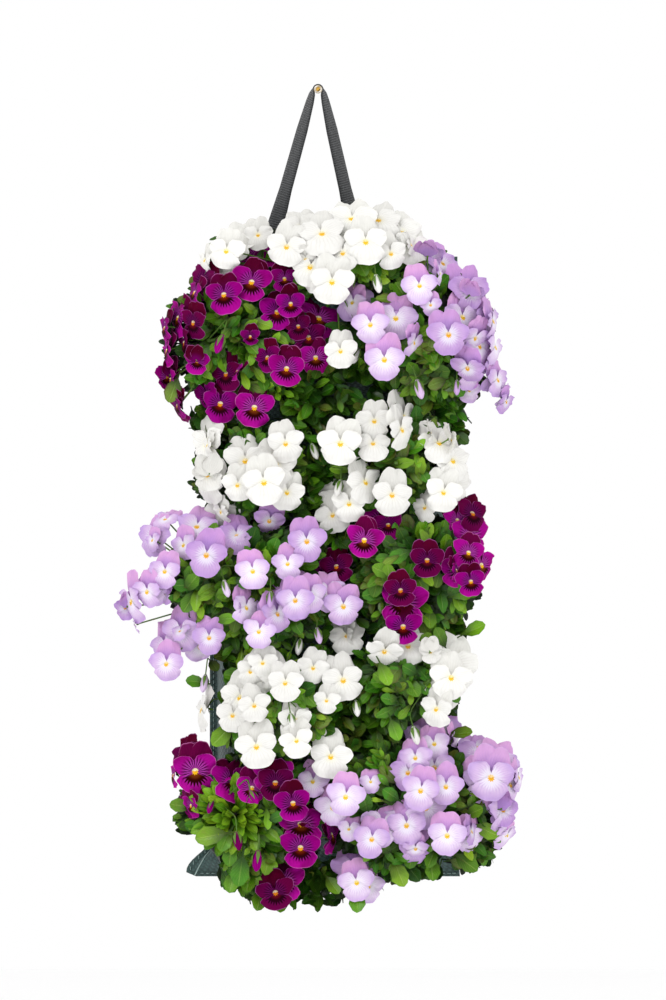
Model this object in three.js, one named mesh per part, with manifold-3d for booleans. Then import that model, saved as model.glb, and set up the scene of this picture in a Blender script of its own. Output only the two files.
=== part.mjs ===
// A hanging flower pouch planted with eleven pansies, in millimetres.
// The origin is the middle of the nail where the strap hangs on it. +X is to the viewer's right,
// +Y goes into the wall and +Z is up.
import * as THREE from "three";
import { mergeVertices } from "three/addons/utils/BufferGeometryUtils.js";
import Module from "manifold-3d";

// Wall, clearances and the seed of every draw
const WALL = 12;
const GAP = 0.3;
const SEED = 5821;
const UP = new THREE.Vector3(0, 0, 1);
const INTO_WALL = new THREE.Vector3(0, 1, 0);

// Nail: a round head with a dimple, and the shank that stands out of the wall
const NAIL = { headRadius: 3.4, headThickness: 1.7, shankRadius: 1.6, front: -9.6, dimple: 0.7, sides: 10 };

// Strap: flat webbing over the nail, edge on there and turned flat where it is sewn on
const STRAP = { width: 15, thickness: 1.5, rim: -134, end: -162, footLeft: -41, footRight: 34, turnStep: 6 };
const STRAP_TURNS = [[0, 0], [0.025, 1], [0.09, 14], [0.45, 33], [0.62, 49], [0.78, 65], [0.9, 77], [1, 90]];

// Pouch: two woven sheets joined by flat side seams and a bottom seam, with ears at its lower corners
const POUCH = { left: -87, right: 112, rim: -134, hem: -632, depth: 58, sheet: 0.8, seam: 6 };
const EAR = { top: -600, left: 20, right: 2 };
const BULGE = { foot: 120, mouth: 0.86, mouthHeight: 80, fullness: 0.85 };
const SHEET_COLUMNS = 6;
const SHEET_ROWS = 7;
const SLIT = { width: 17, height: 30, points: 6 };

// Compost: its top lies below the rim, and each root neck stands in a plain hole
const COMPOST = { top: -166 };
const NECK = { radius: 4.6, rooted: 22, sides: 5 };

// Foliage: a smaller core in each bush, and leaves with notched edges that stand out of it
const CORE = { share: 0.56, depth: 20, clear: 1, bump: 0.09 };
const MOUTH = { neck: -9, over: -105 };
const LOWEST_RISE = 0.35;
const RIM_DROP = 8;
const LEAF = { shortest: 23, longest: 34, thickness: 1.5, arch: 3.2, rooted: 0.84 };
const LEAF_EDGE = [[0, 0], [0.38, 0.27], [0.5, 0.23], [0.76, 0.33]];
const LEAF_TRIES = 60;

// Blooms: petals by their outlines, as shares of the bloom's span, from its eye
const UPPER_PETALS = [[0, -0.08], [0.38, 0.16], [0.4, 0.46], [0.15, 0.64]];
const LOWER_PETALS = [[0, -0.48], [0.3, -0.38], [0.27, -0.13], [0.5, 0.1], [0.3, 0.27], [0, 0.15]];
const FIVE_PETALS = [[0, -0.48], [0.3, -0.35], [0.28, -0.12], [0.5, 0.12], [0.33, 0.58], [0, 0.5]];
const LAYERED_SPAN = 30;
const PETAL = { thickness: 1, waist: 1.5, eye: 0.06, lean: 0.1, cup: 0.1 };
const LAYER = 6.5;
const ROLL = 12;
const STALK = { radius: 0.9, stemRadius: 1.9, sides: 3, root: 0.6, fork: 1.45, joints: 0.27, hook: 0.2 };

const PETAL_COLOURS = { magenta: 0x7d0067, white: 0xf4f2ec, lavender: 0xcbaae6 };

// Plants. middle and reach give the bush across and up, mound how far it stands out of the pouch.
// Each shoot lists its blooms as [across, up, span, turn to the right, tilt up, layer].
const PLANTS = [
  {
    name: "top_left", petals: "magenta", middle: [-66, -198], reach: [64, 64], mound: 46,
    core: [-64, -188, 35, 42], mouth: true, leaves: 14,
    shoots: [
      [[-53, -156, 32, -5, 8, 3], [-27, -153, 22, 15, 0, 3], [-36, -138, 21, 0, 65, 1],
        [-75, -166, 30, -10, 5, 3], [-98, -164, 24, -70, 10, 2]],
      [[-22, -173, 24, 10, -10, 2], [-16, -191, 22, 15, 0, 0], [-2, -216, 27, 5, 0, 1],
        [-25, -225, 29, -5, 0, 3], [-40, -216, 24, -35, 0, 1]],
      [[-54, -199, 16, -10, -20, 1], [-64, -227, 18, -80, 30, 2], [-78, -253, 30, -10, 0, 2],
        [-51, -256, 32, 5, 0, 3]],
      [[-99, -188, 27, -45, -15, 2], [-122, -192, 24, -75, 0, 1], [-120, -210, 22, -85, 0, 0],
        [-120, -231, 24, -140, 0, 0], [-97, -219, 21, 160, 10, 2], [-112, -254, 22, -75, -20, 1]],
    ],
  },
  {
    name: "top_middle", petals: "white", middle: [-2, -134], reach: [88, 40], mound: 44,
    core: [14, -142, 33, 17], mouth: true, leaves: 8,
    shoots: [
      [[-73, -131, 30, -12, 0, 3], [-48, -118, 24, 0, 5, 0], [-90, -138, 21, -65, 0, 1]],
      [[-25, -128, 32, -5, 5, 2], [-10, -137, 18, 5, -40, 1], [-5, -152, 27, -50, 0, 1],
        [11, -156, 35, 5, 0, 3], [4, -113, 29, 0, 35, 0]],
      [[38, -124, 35, 5, 5, 2], [20, -133, 29, -10, 10, 1], [58, -133, 27, 15, 0, 2],
        [74, -126, 18, 70, 10, 2]],
      [[18, -211, 27, 0, 0, 3]],
    ],
  },
  {
    name: "top_right", petals: "lavender", middle: [94, -198], reach: [64, 64], mound: 46,
    core: [88, -188, 35, 42], mouth: true, leaves: 14,
    shoots: [
      [[28, -172, 24, -35, 0, 1], [42, -190, 30, -8, 0, 3], [59, -186, 24, 10, 5, 0],
        [53, -218, 34, 0, 0, 3], [76, -204, 24, 62, -20, 2]],
      [[81, -159, 30, 5, 12, 3], [88, -134, 27, 170, 40, 2], [97, -149, 19, 80, 0, 3],
        [90, -174, 18, 0, 0, 2]],
      [[104, -198, 34, 10, 0, 3], [120, -224, 29, -25, -35, 2], [121, -242, 20, 170, 0, 0]],
      [[125, -200, 27, 40, -35, 1], [122, -166, 24, 160, 20, 1], [139, -187, 29, 75, 0, 1],
        [143, -234, 27, 55, 0, 2], [150, -251, 21, 60, -20, 1]],
    ],
  },
  {
    name: "first_left", petals: "white", middle: [-54, -306], reach: [52, 44], mound: 46, leaves: 11,
    shoots: [
      [[-26, -285, 30, 5, 0, 2], [-43, -316, 36, -3, 0, 3], [-25, -324, 29, 8, 0, 1],
        [-64, -318, 27, -15, 0, 2]],
      [[-88, -286, 18, -70, 0, 1], [-88, -310, 27, -160, 0, 2], [-77, -339, 21, -60, -20, 2]],
    ],
  },
  {
    name: "first_right", petals: "white", middle: [62, -298], reach: [60, 48], mound: 48, leaves: 13,
    shoots: [
      [[18, -285, 36, -5, 0, 3], [45, -267, 29, 0, 5, 1], [25, -333, 29, -5, 0, 3],
        [12, -342, 29, -15, 0, 1]],
      [[66, -274, 32, 55, 0, 2], [59, -326, 32, 5, 0, 2]],
      [[100, -324, 30, 10, 0, 3], [86, -336, 25, -35, 0, 2], [106, -282, 22, 110, 0, 2],
        [90, -276, 16, 90, 0, 1]],
    ],
  },
  {
    name: "second_left", petals: "lavender", middle: [-66, -398], reach: [96, 60], mound: 54, leaves: 17,
    shoots: [
      [[-89, -374, 34, -5, 0, 3], [-107, -366, 25, -35, 0, 0], [-122, -387, 27, -20, 0, 2],
        [-101, -346, 24, -20, 50, 0], [-122, -346, 24, -30, 45, 0], [-132, -362, 18, -50, 0, 1]],
      [[-136, -403, 27, -35, -15, 2], [-154, -416, 21, -150, 0, 1], [-146, -430, 14, -90, -20, 1],
        [-122, -406, 16, -60, 0, 0]],
      [[-87, -440, 27, 0, 0, 2], [-110, -435, 18, -40, 30, 1], [-121, -461, 29, -15, 0, 3],
        [-92, -450, 14, -20, 0, 0]],
      [[-52, -387, 30, 0, 8, 2], [-61, -416, 16, 75, 0, 1], [-66, -358, 21, 0, 40, 0],
        [-39, -346, 26, 0, -35, 1]],
      [[-9, -363, 32, 5, 0, 3], [-24, -381, 26, -10, 5, 1], [-18, -410, 30, -5, 0, 3],
        [-5, -406, 27, 10, 0, 1], [20, -415, 32, 10, 0, 3], [-33, -421, 29, 35, 0, 1],
        [-47, -435, 27, -10, 0, 3]],
    ],
  },
  {
    name: "second_right", petals: "magenta", middle: [78, -390], reach: [60, 56], mound: 50, leaves: 13,
    shoots: [
      [[37, -362, 30, -3, 0, 3], [56, -350, 24, 5, 20, 0], [15, -383, 27, -15, 0, 1]],
      [[87, -378, 27, 5, 0, 2], [66, -402, 26, -5, 0, 2], [68, -431, 29, 0, 0, 3]],
      [[111, -346, 24, 35, 0, 1], [120, -372, 26, 15, 0, 2], [122, -395, 24, 10, 0, 3],
        [110, -386, 19, 70, 0, 1]],
    ],
  },
  {
    name: "third_left", petals: "white", middle: [-34, -494], reach: [60, 52], mound: 48, leaves: 12,
    shoots: [
      [[-92, -498, 34, -78, 0, 0], [-68, -502, 27, -10, 0, 1], [-51, -494, 27, 5, 0, 2],
        [-67, -484, 16, -20, 0, 0], [-49, -527, 34, -3, 0, 3]],
      [[-44, -460, 24, -10, 0, 2], [-54, -467, 24, -5, 0, 1], [-26, -476, 29, -8, 0, 2],
        [-4, -464, 26, 5, 0, 1]],
      [[20, -474, 34, 5, 0, 3], [7, -490, 22, -10, 0, 1], [-17, -522, 27, -5, 0, 2],
        [10, -535, 34, 5, 0, 3]],
    ],
  },
  {
    name: "third_right", petals: "white", middle: [74, -474], reach: [48, 50], mound: 46, leaves: 13,
    shoots: [
      [[23, -438, 21, -60, 0, 0], [53, -450, 30, 0, -40, 2]],
      [[90, -451, 19, 170, 0, 2], [106, -472, 34, 12, 0, 3], [95, -497, 29, -30, 0, 3]],
    ],
  },
  {
    name: "low_left", petals: "magenta", middle: [-58, -590], reach: [62, 66], mound: 50, leaves: 15,
    shoots: [
      [[-98, -547, 37, -8, 0, 3], [-115, -550, 22, -80, 0, 1], [-101, -574, 21, -60, -20, 1],
        [-72, -551, 24, 0, 75, 0]],
      [[-34, -556, 30, -5, 5, 1], [-20, -572, 29, 5, 0, 3], [-14, -608, 32, 0, 0, 3],
        [10, -598, 32, 75, 0, 1]],
      [[-34, -644, 30, 0, -5, 3]],
    ],
  },
  {
    name: "low_right", petals: "lavender", middle: [82, -578], reach: [88, 66], mound: 52, leaves: 17,
    shoots: [
      [[-4, -555, 26, -10, 0, 1], [22, -567, 32, 0, 0, 3], [42, -555, 19, 0, 10, 0],
        [25, -593, 20, -20, 10, 1], [43, -601, 30, -5, 0, 3], [31, -636, 30, 0, -5, 2]],
      [[93, -525, 27, 0, 5, 2], [110, -519, 19, 75, 0, 1], [78, -536, 27, -10, 0, 1],
        [82, -562, 32, -5, 0, 3], [102, -559, 30, 5, 0, 2], [126, -528, 27, 20, 50, 0]],
      [[71, -590, 32, -10, 0, 1], [103, -598, 32, 5, 0, 3], [78, -608, 21, 0, -40, 1],
        [122, -595, 22, 70, 0, 1]],
      [[138, -552, 40, 10, 0, 3], [160, -552, 24, 75, 0, 1], [148, -578, 27, 165, 0, 1],
        [151, -598, 19, 60, -30, 0]],
    ],
  },
];

const library = await Module();
library.setup();

// A seeded draw between 0 and 1
let drawn = SEED;
function draw() {
  drawn = (drawn * 16807) % 2147483647;
  return drawn / 2147483647;
}

// A closed three.js geometry as a solid that can be joined and cut
function solidOf(geometry) {
  const bare = geometry.clone();
  bare.deleteAttribute("normal");
  bare.deleteAttribute("uv");
  const merged = mergeVertices(bare, 1e-3);
  return new library.Manifold(
    new library.Mesh({
      numProp: 3,
      vertProperties: new Float32Array(merged.attributes.position.array),
      triVerts: new Uint32Array(merged.index.array),
    }),
  );
}

// The joined or cut solid as a three.js geometry again
function geometryOf(solid) {
  const mesh = solid.getMesh();
  const geometry = new THREE.BufferGeometry();
  geometry.setAttribute("position", new THREE.BufferAttribute(mesh.vertProperties, 3));
  geometry.setIndex(new THREE.BufferAttribute(mesh.triVerts, 1));
  geometry.computeVertexNormals();
  return geometry;
}

function indexed(points, faces) {
  const geometry = new THREE.BufferGeometry();
  geometry.setAttribute("position", new THREE.Float32BufferAttribute(points.flat(), 3));
  geometry.setIndex(faces.flat());
  return geometry;
}

// Share of the way from one height to another, kept between 0 and 1
const share = (value, from, to) => Math.min(1, Math.max(0, (value - from) / (to - from)));

// The pouch's edges and fullness at a height
const leftEdge = (up) => POUCH.left - EAR.left * share(up, EAR.top, POUCH.hem) ** 0.8;
const rightEdge = (up) => POUCH.right + EAR.right * share(up, EAR.top, POUCH.hem);

function fullness(up) {
  const foot = 1 - share(up, POUCH.hem + POUCH.seam, POUCH.hem + POUCH.seam + BULGE.foot);
  const mouth = share(up, POUCH.rim - BULGE.mouthHeight, POUCH.rim);
  return Math.sqrt(1 - foot * foot) * (1 - (1 - BULGE.mouth) * mouth * mouth);
}

// Where the two sheets meet in the side seams, before the front sheet's thickness
const SEAM_Y = WALL - POUCH.sheet;

// A point of the front sheet's form. turn runs from -90 to 90 degrees across, inset goes inwards.
function pouchPoint(turn, up, inset) {
  const middle = (leftEdge(up) + rightEdge(up)) / 2;
  const half = (rightEdge(up) - leftEdge(up)) / 2 - POUCH.seam - inset;
  const depth = Math.max(0, POUCH.depth * fullness(up) - inset);
  const angle = THREE.MathUtils.degToRad(turn);
  const out = depth * Math.max(0, Math.cos(angle)) ** BULGE.fullness;
  return [middle + half * Math.sin(angle), SEAM_Y - out, up];
}

// The depth of the pouch's front face at a place
function frontAt(across, up) {
  const middle = (leftEdge(up) + rightEdge(up)) / 2;
  const half = (rightEdge(up) - leftEdge(up)) / 2 - POUCH.seam;
  const sine = Math.min(1, Math.abs(across - middle) / half);
  return SEAM_Y - POUCH.depth * fullness(up) * Math.sqrt(1 - sine * sine) ** BULGE.fullness;
}

// A closed body between two grids of points with the same rows and columns
function betweenGrids(front, back) {
  const rows = front.length;
  const columns = front[0].length;
  const faces = [];
  const quad = (a, b, c, d) => faces.push([a, b, c], [a, c, d]);
  const f = (row, column) => row * columns + column;
  const k = (row, column) => (rows + row) * columns + column;
  for (let row = 0; row + 1 < rows; row++) {
    for (let column = 0; column + 1 < columns; column++) {
      quad(f(row, column), f(row + 1, column), f(row + 1, column + 1), f(row, column + 1));
      quad(k(row, column), k(row, column + 1), k(row + 1, column + 1), k(row + 1, column));
    }
    quad(f(row, 0), k(row, 0), k(row + 1, 0), f(row + 1, 0));
    quad(f(row + 1, columns - 1), k(row + 1, columns - 1), k(row, columns - 1), f(row, columns - 1));
  }
  for (let column = 0; column + 1 < columns; column++) {
    quad(f(0, column), f(0, column + 1), k(0, column + 1), k(0, column));
    quad(f(rows - 1, column), k(rows - 1, column), k(rows - 1, column + 1), f(rows - 1, column + 1));
  }
  return indexed([...front.flat(), ...back.flat()], faces);
}

// Heights of the rows that the front sheet and the compost share, closer together towards the foot
const rows = Array.from({ length: SHEET_ROWS + 1 }, (_, row) =>
  COMPOST.top + (POUCH.hem + POUCH.seam - COMPOST.top) * Math.sin(((row / SHEET_ROWS) * Math.PI) / 2));

const turns = Array.from({ length: SHEET_COLUMNS + 1 }, (_, column) => -90 + (180 * column) / SHEET_COLUMNS);

// Front sheet: the full bulge between two flat side seams and a flat bottom seam
function frontSheet(slits) {
  const levels = [POUCH.rim, ...rows, POUCH.hem];
  const outside = levels.map((up) => [
    [leftEdge(up), SEAM_Y - POUCH.sheet, up],
    ...turns.map((turn) => {
      const [across, depth] = pouchPoint(turn, up, 0);
      return [across, Math.min(depth, SEAM_Y - POUCH.sheet), up];
    }),
    [rightEdge(up), SEAM_Y - POUCH.sheet, up],
  ]);
  const inside = levels.map((up) => [
    [leftEdge(up), SEAM_Y, up],
    ...turns.map((turn) => pouchPoint(turn, up, POUCH.sheet)),
    [rightEdge(up), SEAM_Y, up],
  ]);
  return slits.reduce((sheet, slit) => sheet.subtract(slit), solidOf(betweenGrids(outside, inside)));
}

// Back sheet: flat on the wall, with the same outline
function backSheet() {
  const levels = [POUCH.rim, EAR.top, (2 * EAR.top + POUCH.hem) / 3, (EAR.top + 3 * POUCH.hem) / 4, POUCH.hem];
  const corners = [
    ...levels.map((up) => new THREE.Vector2(leftEdge(up), up)),
    ...levels.reverse().map((up) => new THREE.Vector2(rightEdge(up), up)),
  ];
  const plate = new THREE.ExtrudeGeometry(new THREE.Shape(corners), { depth: POUCH.sheet, bevelEnabled: false });
  plate.rotateX(Math.PI / 2);
  plate.translate(0, WALL, 0);
  return solidOf(plate);
}

// Compost: it fills the pouch below its mouth, clear of both sheets
function compost() {
  const levels = rows.slice(0, -1);
  const front = levels.map((up) => turns.map((turn) => {
    const [across, depth] = pouchPoint(turn, up, POUCH.sheet + 3 * GAP);
    return [across, Math.min(depth, SEAM_Y - GAP - 0.5), up];
  }));
  const back = front.map((row) => row.map(([across, , up]) => [across, SEAM_Y - GAP, up]));
  return solidOf(betweenGrids(front, back));
}

// The cut that a plant grows through, opened by its stems
function slitAt(across, up) {
  const rim = Array.from({ length: SLIT.points }, (_, corner) => {
    const angle = (2 * Math.PI * (corner + 0.5)) / SLIT.points;
    return new THREE.Vector2(across + (SLIT.width / 2) * Math.cos(angle), up + (SLIT.height / 2) * Math.sin(angle));
  });
  const prism = new THREE.ExtrudeGeometry(new THREE.Shape(rim), { depth: 2 * POUCH.depth, bevelEnabled: false });
  prism.rotateX(Math.PI / 2);
  prism.translate(0, SEAM_Y - 1, 0);
  return solidOf(prism);
}

// Nail, turned on the Y axis
function nail() {
  const { headRadius, headThickness, shankRadius, front, dimple, sides } = NAIL;
  const profile = [
    [0, front + dimple], [headRadius * 0.3, front + dimple], [headRadius * 0.65, front],
    [headRadius, front + 0.7], [headRadius, front + headThickness],
    [shankRadius, front + headThickness], [shankRadius, WALL], [0, WALL],
  ];
  const body = new THREE.LatheGeometry(profile.map(([radius, along]) => new THREE.Vector2(radius, along)), sides);
  return solidOf(body);
}

// Strap: stations from the nail down one leg, with the direction of the webbing's width at each
const strapSteps = STRAP_TURNS.flatMap(([along, turn], index) => {
  const [before, from] = STRAP_TURNS[Math.max(0, index - 1)];
  const count = Math.max(1, Math.ceil((turn - from) / STRAP.turnStep));
  return Array.from({ length: count }, (_, step) => [
    before + ((along - before) * (step + 1)) / count, from + ((turn - from) * (step + 1)) / count]);
});

function legStations(side, foot, slope) {
  const radius = NAIL.shankRadius + GAP + STRAP.thickness / 2;
  const depth = SEAM_Y - GAP - STRAP.thickness / 2;
  const start = new THREE.Vector3(side * radius * Math.cos(slope), 0, radius * Math.sin(slope));
  const leg = new THREE.Vector3(foot, depth, STRAP.rim).sub(start);
  const outwards = new THREE.Vector3(-leg.z, 0, leg.x).normalize().multiplyScalar(side);
  const stations = strapSteps.map(([along, turn]) => {
    const angle = THREE.MathUtils.degToRad(turn);
    const width = new THREE.Vector3(0, Math.cos(angle), 0).addScaledVector(outwards, Math.sin(angle));
    return { at: start.clone().addScaledVector(leg, along), width };
  });
  return [...stations, { at: new THREE.Vector3(foot, depth, STRAP.end), width: new THREE.Vector3(side, 0, 0) }];
}

// The webbing as one band from the left end over the nail to the right end
function strap() {
  const radius = NAIL.shankRadius + GAP + STRAP.thickness / 2;
  const slopeOf = (foot) => Math.atan((Math.abs(foot) - radius) / -STRAP.rim);
  const [left, right] = [slopeOf(STRAP.footLeft), slopeOf(STRAP.footRight)];
  const bends = [0.2, 0.4, 0.6, 0.8].map((step) => {
    const angle = Math.PI - left - (Math.PI - left - right) * step;
    return { at: new THREE.Vector3(Math.cos(angle) * radius, 0, Math.sin(angle) * radius), width: INTO_WALL };
  });
  const stations = [
    ...legStations(-1, STRAP.footLeft, left).reverse(),
    ...bends,
    ...legStations(1, STRAP.footRight, right),
  ];
  const points = [];
  const faces = [];
  stations.forEach(({ at, width }, index) => {
    const before = stations[Math.max(0, index - 1)].at;
    const after = stations[Math.min(stations.length - 1, index + 1)].at;
    const along = after.clone().sub(before).normalize();
    const across = width.clone().addScaledVector(along, -width.dot(along)).normalize();
    const normal = along.clone().cross(across);
    for (const [wide, thick] of [[-1, -1], [1, -1], [1, 1], [-1, 1]]) {
      const corner = at.clone().addScaledVector(across, (wide * STRAP.width) / 2);
      points.push(corner.addScaledVector(normal, (thick * STRAP.thickness) / 2).toArray());
    }
    if (index === 0) return;
    const last = (index - 1) * 4;
    for (let edge = 0; edge < 4; edge++) {
      const next = (edge + 1) % 4;
      const [a, b, c, d] = [last + edge, last + next, last + 4 + next, last + 4 + edge];
      faces.push(...(edge < 2 ? [[a, b, c], [a, c, d]] : [[a, b, d], [b, c, d]]));
    }
  });
  const end = points.length - 4;
  faces.push([0, 3, 2], [0, 2, 1], [end, end + 1, end + 2], [end, end + 2, end + 3]);
  return solidOf(indexed(points, faces));
}

// Both halves of a mirrored outline, anticlockwise seen from the front, from its lowest point
function mirrored(half, place) {
  const right = half.map(([across, up]) => place(across, up));
  const left = half.filter(([across]) => across > 0).reverse().map(([across, up]) => place(-across, up));
  return [...right, ...left];
}

// Faces between two rings round the same axis, whose corners need not be as many. Seen from the front
// the rings run anticlockwise from their lowest point, and the faces look to the front if outer is first.
function bridge(outer, inner) {
  const angleOf = (ring, corner) => {
    if (corner >= ring.points.length) return 2 * Math.PI;
    const [across, up] = ring.points[corner];
    const angle = Math.atan2(across - ring.axis[0], ring.axis[1] - up);
    return corner > 0 && angle < 1e-6 ? angle + 2 * Math.PI : angle;
  };
  const faces = [];
  let [i, j] = [0, 0];
  while (i < outer.points.length || j < inner.points.length) {
    const [here, there] = [outer.first + (i % outer.points.length), inner.first + (j % inner.points.length)];
    if (j >= inner.points.length || (i < outer.points.length && angleOf(outer, i + 1) <= angleOf(inner, j + 1))) {
      faces.push([here, outer.first + ((i + 1) % outer.points.length), there]);
      i += 1;
    } else {
      faces.push([here, inner.first + ((j + 1) % inner.points.length), there]);
      j += 1;
    }
  }
  return faces;
}

const flipped = (faces) => faces.map(([a, b, c]) => [a, c, b]);

// Axes of a bloom or leaf: its up direction, turned about the way that it faces
function axes(facing, roll, hint) {
  const up = hint.clone().addScaledVector(facing, -hint.dot(facing)).normalize();
  up.applyAxisAngle(facing, THREE.MathUtils.degToRad(roll));
  const right = up.clone().cross(facing);
  return new THREE.Matrix4().makeBasis(right, up, facing);
}

// The way a bloom faces: towards the viewer, turned to the right and tilted up by degrees
function facingOf(turn, tilt) {
  const [side, rise] = [THREE.MathUtils.degToRad(turn), THREE.MathUtils.degToRad(tilt)];
  return new THREE.Vector3(
    Math.sin(side) * Math.cos(rise), -Math.cos(side) * Math.cos(rise), Math.sin(rise));
}

// A bloom on its stalk, one closed body: the side petals and lip in front, a slim waist at the eye, the two
// upper petals behind, and a three-sided stalk along the route from the bloom's back. In a small bloom the
// five petals are one layer.
function bloom(span, matrix, route) {
  const axis = [0, PETAL.eye * span];
  const points = [];
  const ring = (list) => {
    const first = points.length;
    points.push(...list);
    return { points: list, first, axis };
  };
  const small = (corners, radius, depth) => ring(Array.from({ length: corners }, (_, corner) => {
    const angle = (2 * Math.PI * corner) / corners;
    return [axis[0] + radius * Math.sin(angle), axis[1] - radius * Math.cos(angle), depth];
  }));
  const layered = span >= LAYERED_SPAN;
  const lower = ring(mirrored(layered ? LOWER_PETALS : FIVE_PETALS, (across, up) =>
    [across * span, up * span, PETAL.cup * Math.abs(across) * span]));
  const front = points.push([axis[0], axis[1], PETAL.thickness * 0.5]) - 1;
  const faces = lower.points.map((_, i) => [front, lower.first + i, lower.first + ((i + 1) % lower.points.length)]);
  const layers = [lower];
  if (layered) {
    const waist = small(3, PETAL.waist, -PETAL.thickness);
    const upper = ring(mirrored(UPPER_PETALS, (across, up) =>
      [across * span, up * span, -2 * PETAL.thickness - PETAL.lean * up * span]));
    faces.push(...flipped(bridge(lower, waist)), ...bridge(upper, waist));
    layers.push(upper);
  }
  const neck = small(3, STALK.radius, -(layered ? 3 : 1) * PETAL.thickness);
  faces.push(...flipped(bridge(layers.at(-1), neck)));
  const placed = points.map((point) => new THREE.Vector3(...point).applyMatrix4(matrix));
  let last = neck.first;
  const middle = new THREE.Vector3(axis[0], axis[1], neck.points[0][2]).applyMatrix4(matrix);
  const spokes = [0, 1, 2].map((corner) => placed[neck.first + corner].clone().sub(middle));
  let heading = new THREE.Vector3().setFromMatrixColumn(matrix, 2).negate();
  route.forEach((stop, index) => {
    const direction = (route[index + 1] ?? stop).clone().sub(route[index - 1] ?? middle).normalize();
    const bend = new THREE.Quaternion().setFromUnitVectors(heading, direction);
    heading = direction;
    const first = placed.length;
    placed.push(...spokes.map((spoke) => stop.clone().add(spoke.applyQuaternion(bend))));
    for (let corner = 0; corner < 3; corner++) {
      const next = (corner + 1) % 3;
      faces.push([last + corner, first + corner, first + next], [last + corner, first + next, last + next]);
    }
    last = first;
  });
  faces.push([last, last + 2, last + 1]);
  return solidOf(indexed(placed.map((point) => point.toArray()), faces));
}

// A leaf: one closed blade with a notched edge, from its root at the origin along its up direction
function leaf(length, matrix) {
  const arch = (along) => -LEAF.arch * (2 * along - 1) ** 2;
  const edge = [...LEAF_EDGE.map(([along, wide]) => [wide, along]), [0, 1]];
  const right = edge.map(([across, along]) => [across * length, along * length, arch(along) + 4 * across ** 2]);
  const left = right.slice(1, -1).reverse().map(([across, along, high]) => [-across, along, high]);
  const outline = [...right, ...left];
  const count = outline.length;
  const points = [...outline, [0, length * 0.55, LEAF.thickness / 2], [0, length * 0.55, -LEAF.thickness / 2]];
  const faces = outline.flatMap((_, corner) => {
    const next = (corner + 1) % count;
    return [[count, corner, next], [count + 1, next, corner]];
  });
  return solidOf(indexed(points, faces).applyMatrix4(matrix));
}

// A straight three-sided or four-sided stalk between two points
function stalk(from, to, radius, sides) {
  const along = to.clone().sub(from);
  const bar = new THREE.CylinderGeometry(radius, radius, along.length(), sides);
  bar.applyQuaternion(new THREE.Quaternion().setFromUnitVectors(new THREE.Vector3(0, 1, 0), along.normalize()));
  const middle = from.clone().add(to).multiplyScalar(0.5);
  return solidOf(bar.translate(middle.x, middle.y, middle.z));
}

// The middle and the three radii of a plant's core
function coreOf(plant) {
  const [across, up, wide, high] = plant.core
    ?? [...plant.middle, plant.reach[0] * CORE.share, plant.reach[1] * CORE.share];
  const front = Math.min(frontAt(across - wide / 2, up), frontAt(across + wide / 2, up));
  const depth = front - CORE.clear - CORE.depth * (1 + CORE.bump);
  return {
    front,
     middle: new THREE.Vector3(across, depth, up),
    radii: new THREE.Vector3(wide, CORE.depth, high),
  };
}

// Where a bloom's eye is: on the plant's mound, raised by its layer
function eyeAt(plant, across, up, layer) {
  const [x, z] = [(across - plant.middle[0]) / plant.reach[0], (up - plant.middle[1]) / plant.reach[1]];
  const rise = Math.max(LOWEST_RISE, Math.sqrt(Math.max(0, 1 - x * x - z * z)));
  const foot = Math.min(frontAt(across, up), coreOf(plant).front + RIM_DROP);
  return new THREE.Vector3(across, foot - plant.mound * rise - layer * LAYER, up);
}

// A stalk's route from a bloom's back to the fork, round the petals where the bloom faces away from it
function routeOf(eye, facing, up, span, fork, plant) {
  const away = facing.dot(fork.clone().sub(eye).normalize());
  if (away < -0.5) return [fork];
  const behind = eye.clone().addScaledVector(up, PETAL.eye * span).addScaledVector(facing, -STALK.hook * span);
  if (away < 0.2) return [behind, fork];
  const out = new THREE.Vector3(eye.x - plant.middle[0], 0, eye.z - plant.middle[1]).normalize();
  const round = eye.clone().addScaledVector(out, 0.66 * span).addScaledVector(facing, -STALK.hook * span);
  return [behind, round, round.clone().addScaledVector(facing, 2 * STALK.hook * span), fork];
}

// A flowering shoot: its blooms on stalks that fork at the top of a stem standing in the core
function shoot(plant, blooms) {
  const { middle, radii } = coreOf(plant);
  const eyes = blooms.map(([across, up, , , , layer]) => eyeAt(plant, across, up, layer));
  const centre = eyes.reduce((sum, eye) => sum.add(eye), new THREE.Vector3()).divideScalar(eyes.length);
  const towards = centre.sub(middle);
  towards.y = Math.min(towards.y, -radii.y);
  towards.divideScalar(towards.clone().divide(radii).length());
  const on = (share) => middle.clone().addScaledVector(towards, share);
  const solids = [stalk(on(STALK.root), on(STALK.fork), STALK.stemRadius, STALK.sides)];
  blooms.forEach(([, , span, turn, tilt], index) => {
    const facing = facingOf(turn, tilt);
    const matrix = axes(facing, (draw() - 0.5) * 2 * ROLL, UP).setPosition(eyes[index]);
    const up = new THREE.Vector3().setFromMatrixColumn(matrix, 1);
    const joint = on(STALK.fork - 0.04 - (STALK.joints * (index + 0.5)) / blooms.length);
    solids.push(bloom(span, matrix, routeOf(eyes[index], facing, up, span, joint, plant)));
  });
  const hole = stalk(on(STALK.root - 0.03), on(STALK.fork + 1), STALK.stemRadius + 1.4 * GAP, 5);
  return { solid: library.Manifold.union(solids), hole };
}

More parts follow.
